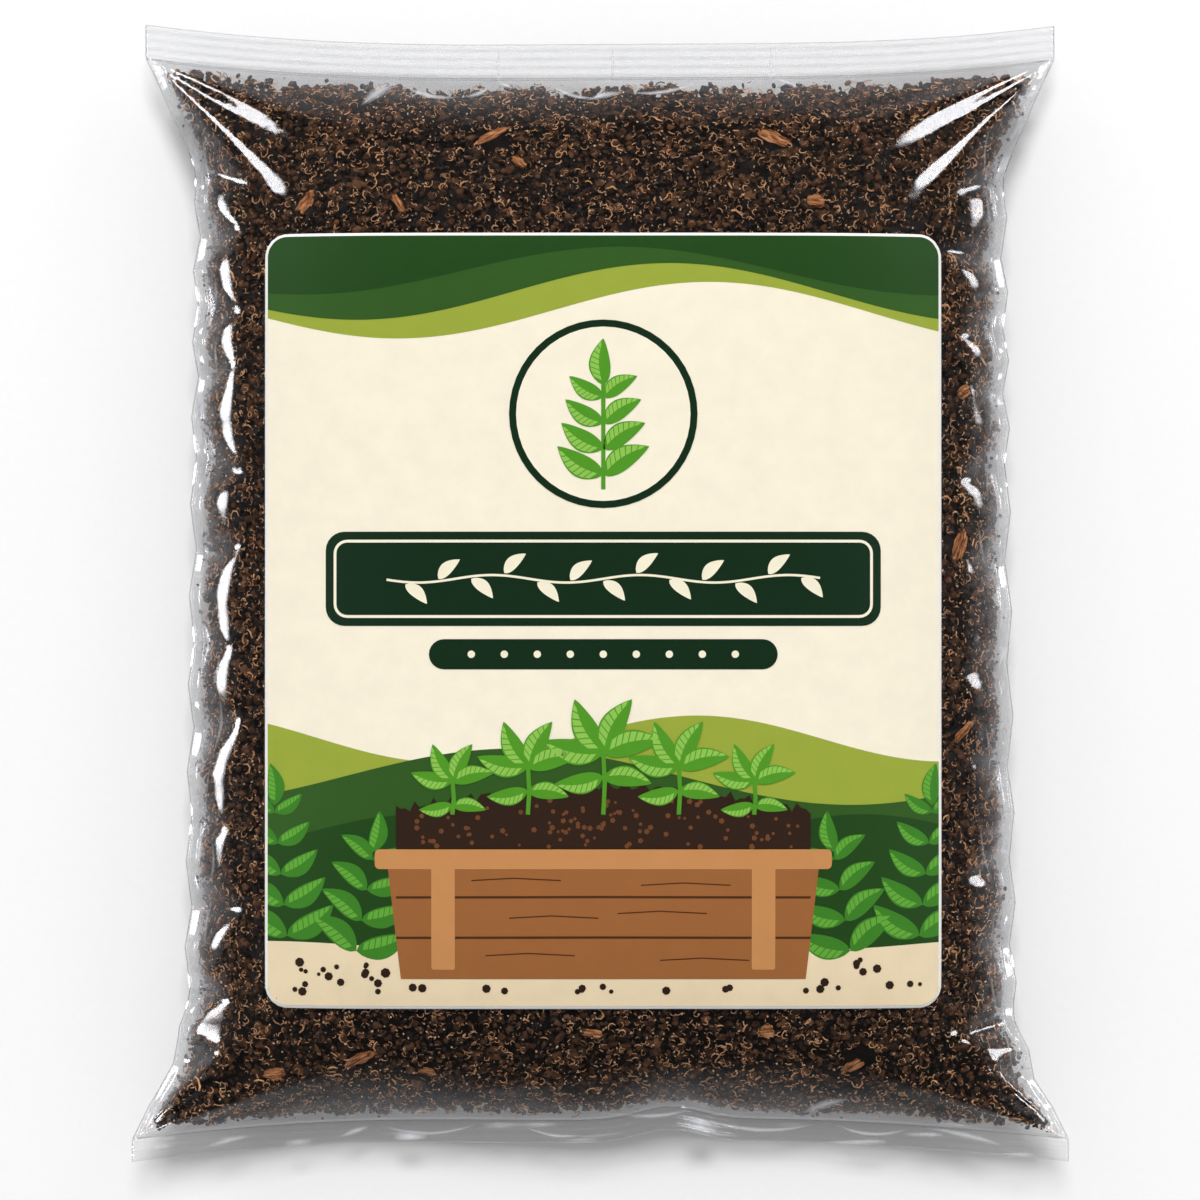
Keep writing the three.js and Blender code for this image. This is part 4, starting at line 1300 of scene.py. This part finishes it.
class BAG_OT_stage(bpy.types.Operator):
    """Pale floor, softboxes and the camera that looks down on the bag"""

    bl_idname = "soil_bag.stage"
    bl_label = "Stage"

    # White cards that only the film mirrors: direction, spread and soft edge in degrees, and brightness
    cards = (
        ((-1, 0.05, -0.2), 7.5, 4, 1),
        ((-0.66, 0.52, 0.54), 18, 5, 1),
        ((0.66, 0.52, 0.54), 18, 5, 1),
        ((1, 0.2, -0.2), 8.5, 4, 0.7),
        ((-0.7, -0.6, 0.3), 12, 5, 1),
        ((0.7, -0.6, 0.3), 12, 5, 1),
        ((0, 0, -1), 97, 40, 0.04),
    )
    mirrored_sky = 0.05  # share of the sky that the film mirrors beside the cards
    half_floor = 3
    aim = (-0.0001, -0.0015)  # what lies in the middle of the view

    def execute(self, context):
        stage = context.scene.soil_bag_stage
        scene = context.scene
        scene.view_settings.view_transform = "Standard"
        self.floor(scene)
        self.camera(scene, stage)
        for name, side in (("upper_left", -1), ("upper_right", 1)):
            self.softbox(name, (side * 0.75, 0.6, 0.62), (0.4, 0.4), stage.side_power)
        self.softbox("end", (0.0, 2.25, 3.96), (1.08, 0.9), stage.end_power)
        scene.world = self.world(stage)
        return {"FINISHED"}

    def world(self, stage):
        """An even sky, white past the floor's edge. Mirroring rays see a dimmer one with cards in it."""
        world = bpy.data.worlds.new("even_sky")
        world.use_nodes = True
        tree = world.node_tree
        tree.nodes.clear()
        path = add_node(tree, "ShaderNodeLightPath").outputs
        way = add_node(tree, "ShaderNodeTexCoord").outputs["Generated"]
        lit = 0.0
        for direction, spread, soft, share in self.cards:
            lit = add_math(tree, "MULTIPLY_ADD", self.card(tree, way, direction, spread, soft), share, lit)
        mirrored = add_math(tree, "MULTIPLY_ADD", lit, stage.card, self.mirrored_sky * stage.sky)
        light = self.choose(tree, path["Is Glossy Ray"], {2: stage.sky}, {3: mirrored})
        strength = self.choose(tree, path["Is Camera Ray"], {3: 1.0}, {2: light})
        sky = add_node(tree, "ShaderNodeBackground", {"Color": (1, 1, 1, 1)}, {"Strength": strength})
        add_node(tree, "ShaderNodeOutputWorld", None, {"Surface": sky.outputs[0]})
        return world

    def card(self, tree, way, direction, spread, soft):
        """1 inside a round card that lies in a direction, falling smoothly to 0 over its soft edge."""
        toward = {"operation": "DOT_PRODUCT", 1: Vector(direction).normalized()}
        source = add_node(tree, "ShaderNodeVectorMath", toward, {0: way}).outputs["Value"]
        start, end = (math.cos(math.radians(angle)) for angle in (spread, spread - soft))
        rise = {"interpolation_type": "SMOOTHSTEP", "From Min": start, "From Max": end}
        return add_node(tree, "ShaderNodeMapRange", rise, {"Value": source}).outputs[0]

    def choose(self, tree, factor, numbers, sources):
        """Input 2 where the factor is 0, input 3 where it is 1."""
        settings = {"data_type": "FLOAT", **numbers}
        return add_node(tree, "ShaderNodeMix", settings, {0: factor, **sources}).outputs[0]

    def floor(self, scene):
        bm = bmesh.new()
        bmesh.ops.create_grid(bm, x_segments=1, y_segments=1, size=self.half_floor)
        mesh = to_mesh(bm, "floor", smooth=False)
        mesh.materials.append(self.floor_material())
        floor = bpy.data.objects.new("floor", mesh)
        floor.visible_glossy = False
        scene.collection.objects.link(floor)

    def floor_material(self):
        """White paper sweep: matt, with the bag's soft shadow."""
        material, tree, output = new_material("white_paper_sweep")
        fibres = add_grain(tree, object_place(tree), 2 * MM, 4.0)
        colour = add_ramp(tree, fibres, (0, linear("#fafafa")), (1, linear("#fefefe")))
        matt = add_node(tree, "ShaderNodeBsdfDiffuse", None, {"Color": colour})
        tree.links.new(matt.outputs[0], output.inputs["Surface"])
        return material

    def camera(self, scene, stage):
        level = scene.soil_bag_film.seal_height
        data = bpy.data.cameras.new("camera")
        data.sensor_width = 36
        data.lens = data.sensor_width * stage.distance / stage.view_width
        camera = bpy.data.objects.new("camera", data)
        camera.location = (*self.aim, level + stage.distance)
        scene.collection.objects.link(camera)
        scene.camera = camera

    def softbox(self, name, place, size, power):
        lamp = bpy.data.lights.new(f"softbox_{name}", "AREA")
        lamp.shape = "RECTANGLE"
        lamp.size, lamp.size_y = size
        lamp.energy = power
        box = bpy.data.objects.new(lamp.name, lamp)
        box.location = place
        box.rotation_euler = (-Vector(place)).to_track_quat("-Z", "Y").to_euler()
        box.visible_glossy = False
        bpy.context.scene.collection.objects.link(box)


class BAG_PT_panel(bpy.types.Panel):
    """Sizes and colours of the bag, and the steps that build it"""

    bl_label = "Bag of loam soil"
    bl_space_type = "VIEW_3D"
    bl_region_type = "UI"
    bl_category = "Soil bag"

    def draw(self, context):
        for group in GROUPS:
            sizes = getattr(context.scene, group)
            box = self.layout.box()
            for key in sizes.__annotations__:
                box.prop(sizes, key)
        for step in STEPS:
            self.layout.operator(step.bl_idname)


GROUPS = {
    "soil_bag_film": FilmProperties,
    "soil_bag_soil": SoilProperties,
    "soil_bag_label": LabelProperties,
    "soil_bag_stage": StageProperties,
}
STEPS = (
    BAG_OT_stage, BAG_OT_film, BAG_OT_pleats, BAG_OT_soil,
    BAG_OT_crumbs, BAG_OT_chips, BAG_OT_label, BAG_OT_print,
)


def register():
    for cls in (*GROUPS.values(), *STEPS, BAG_PT_panel):
        bpy.utils.register_class(cls)
    for name, cls in GROUPS.items():
        setattr(bpy.types.Scene, name, PointerProperty(type=cls))


def unregister():
    for name in GROUPS:
        delattr(bpy.types.Scene, name)
    for cls in reversed((*GROUPS.values(), *STEPS, BAG_PT_panel)):
        bpy.utils.unregister_class(cls)


def main():
    register()
    for step in STEPS:
        group, name = step.bl_idname.split(".")
        getattr(getattr(bpy.ops, group), name)()


if __name__ == "__main__":
    main()
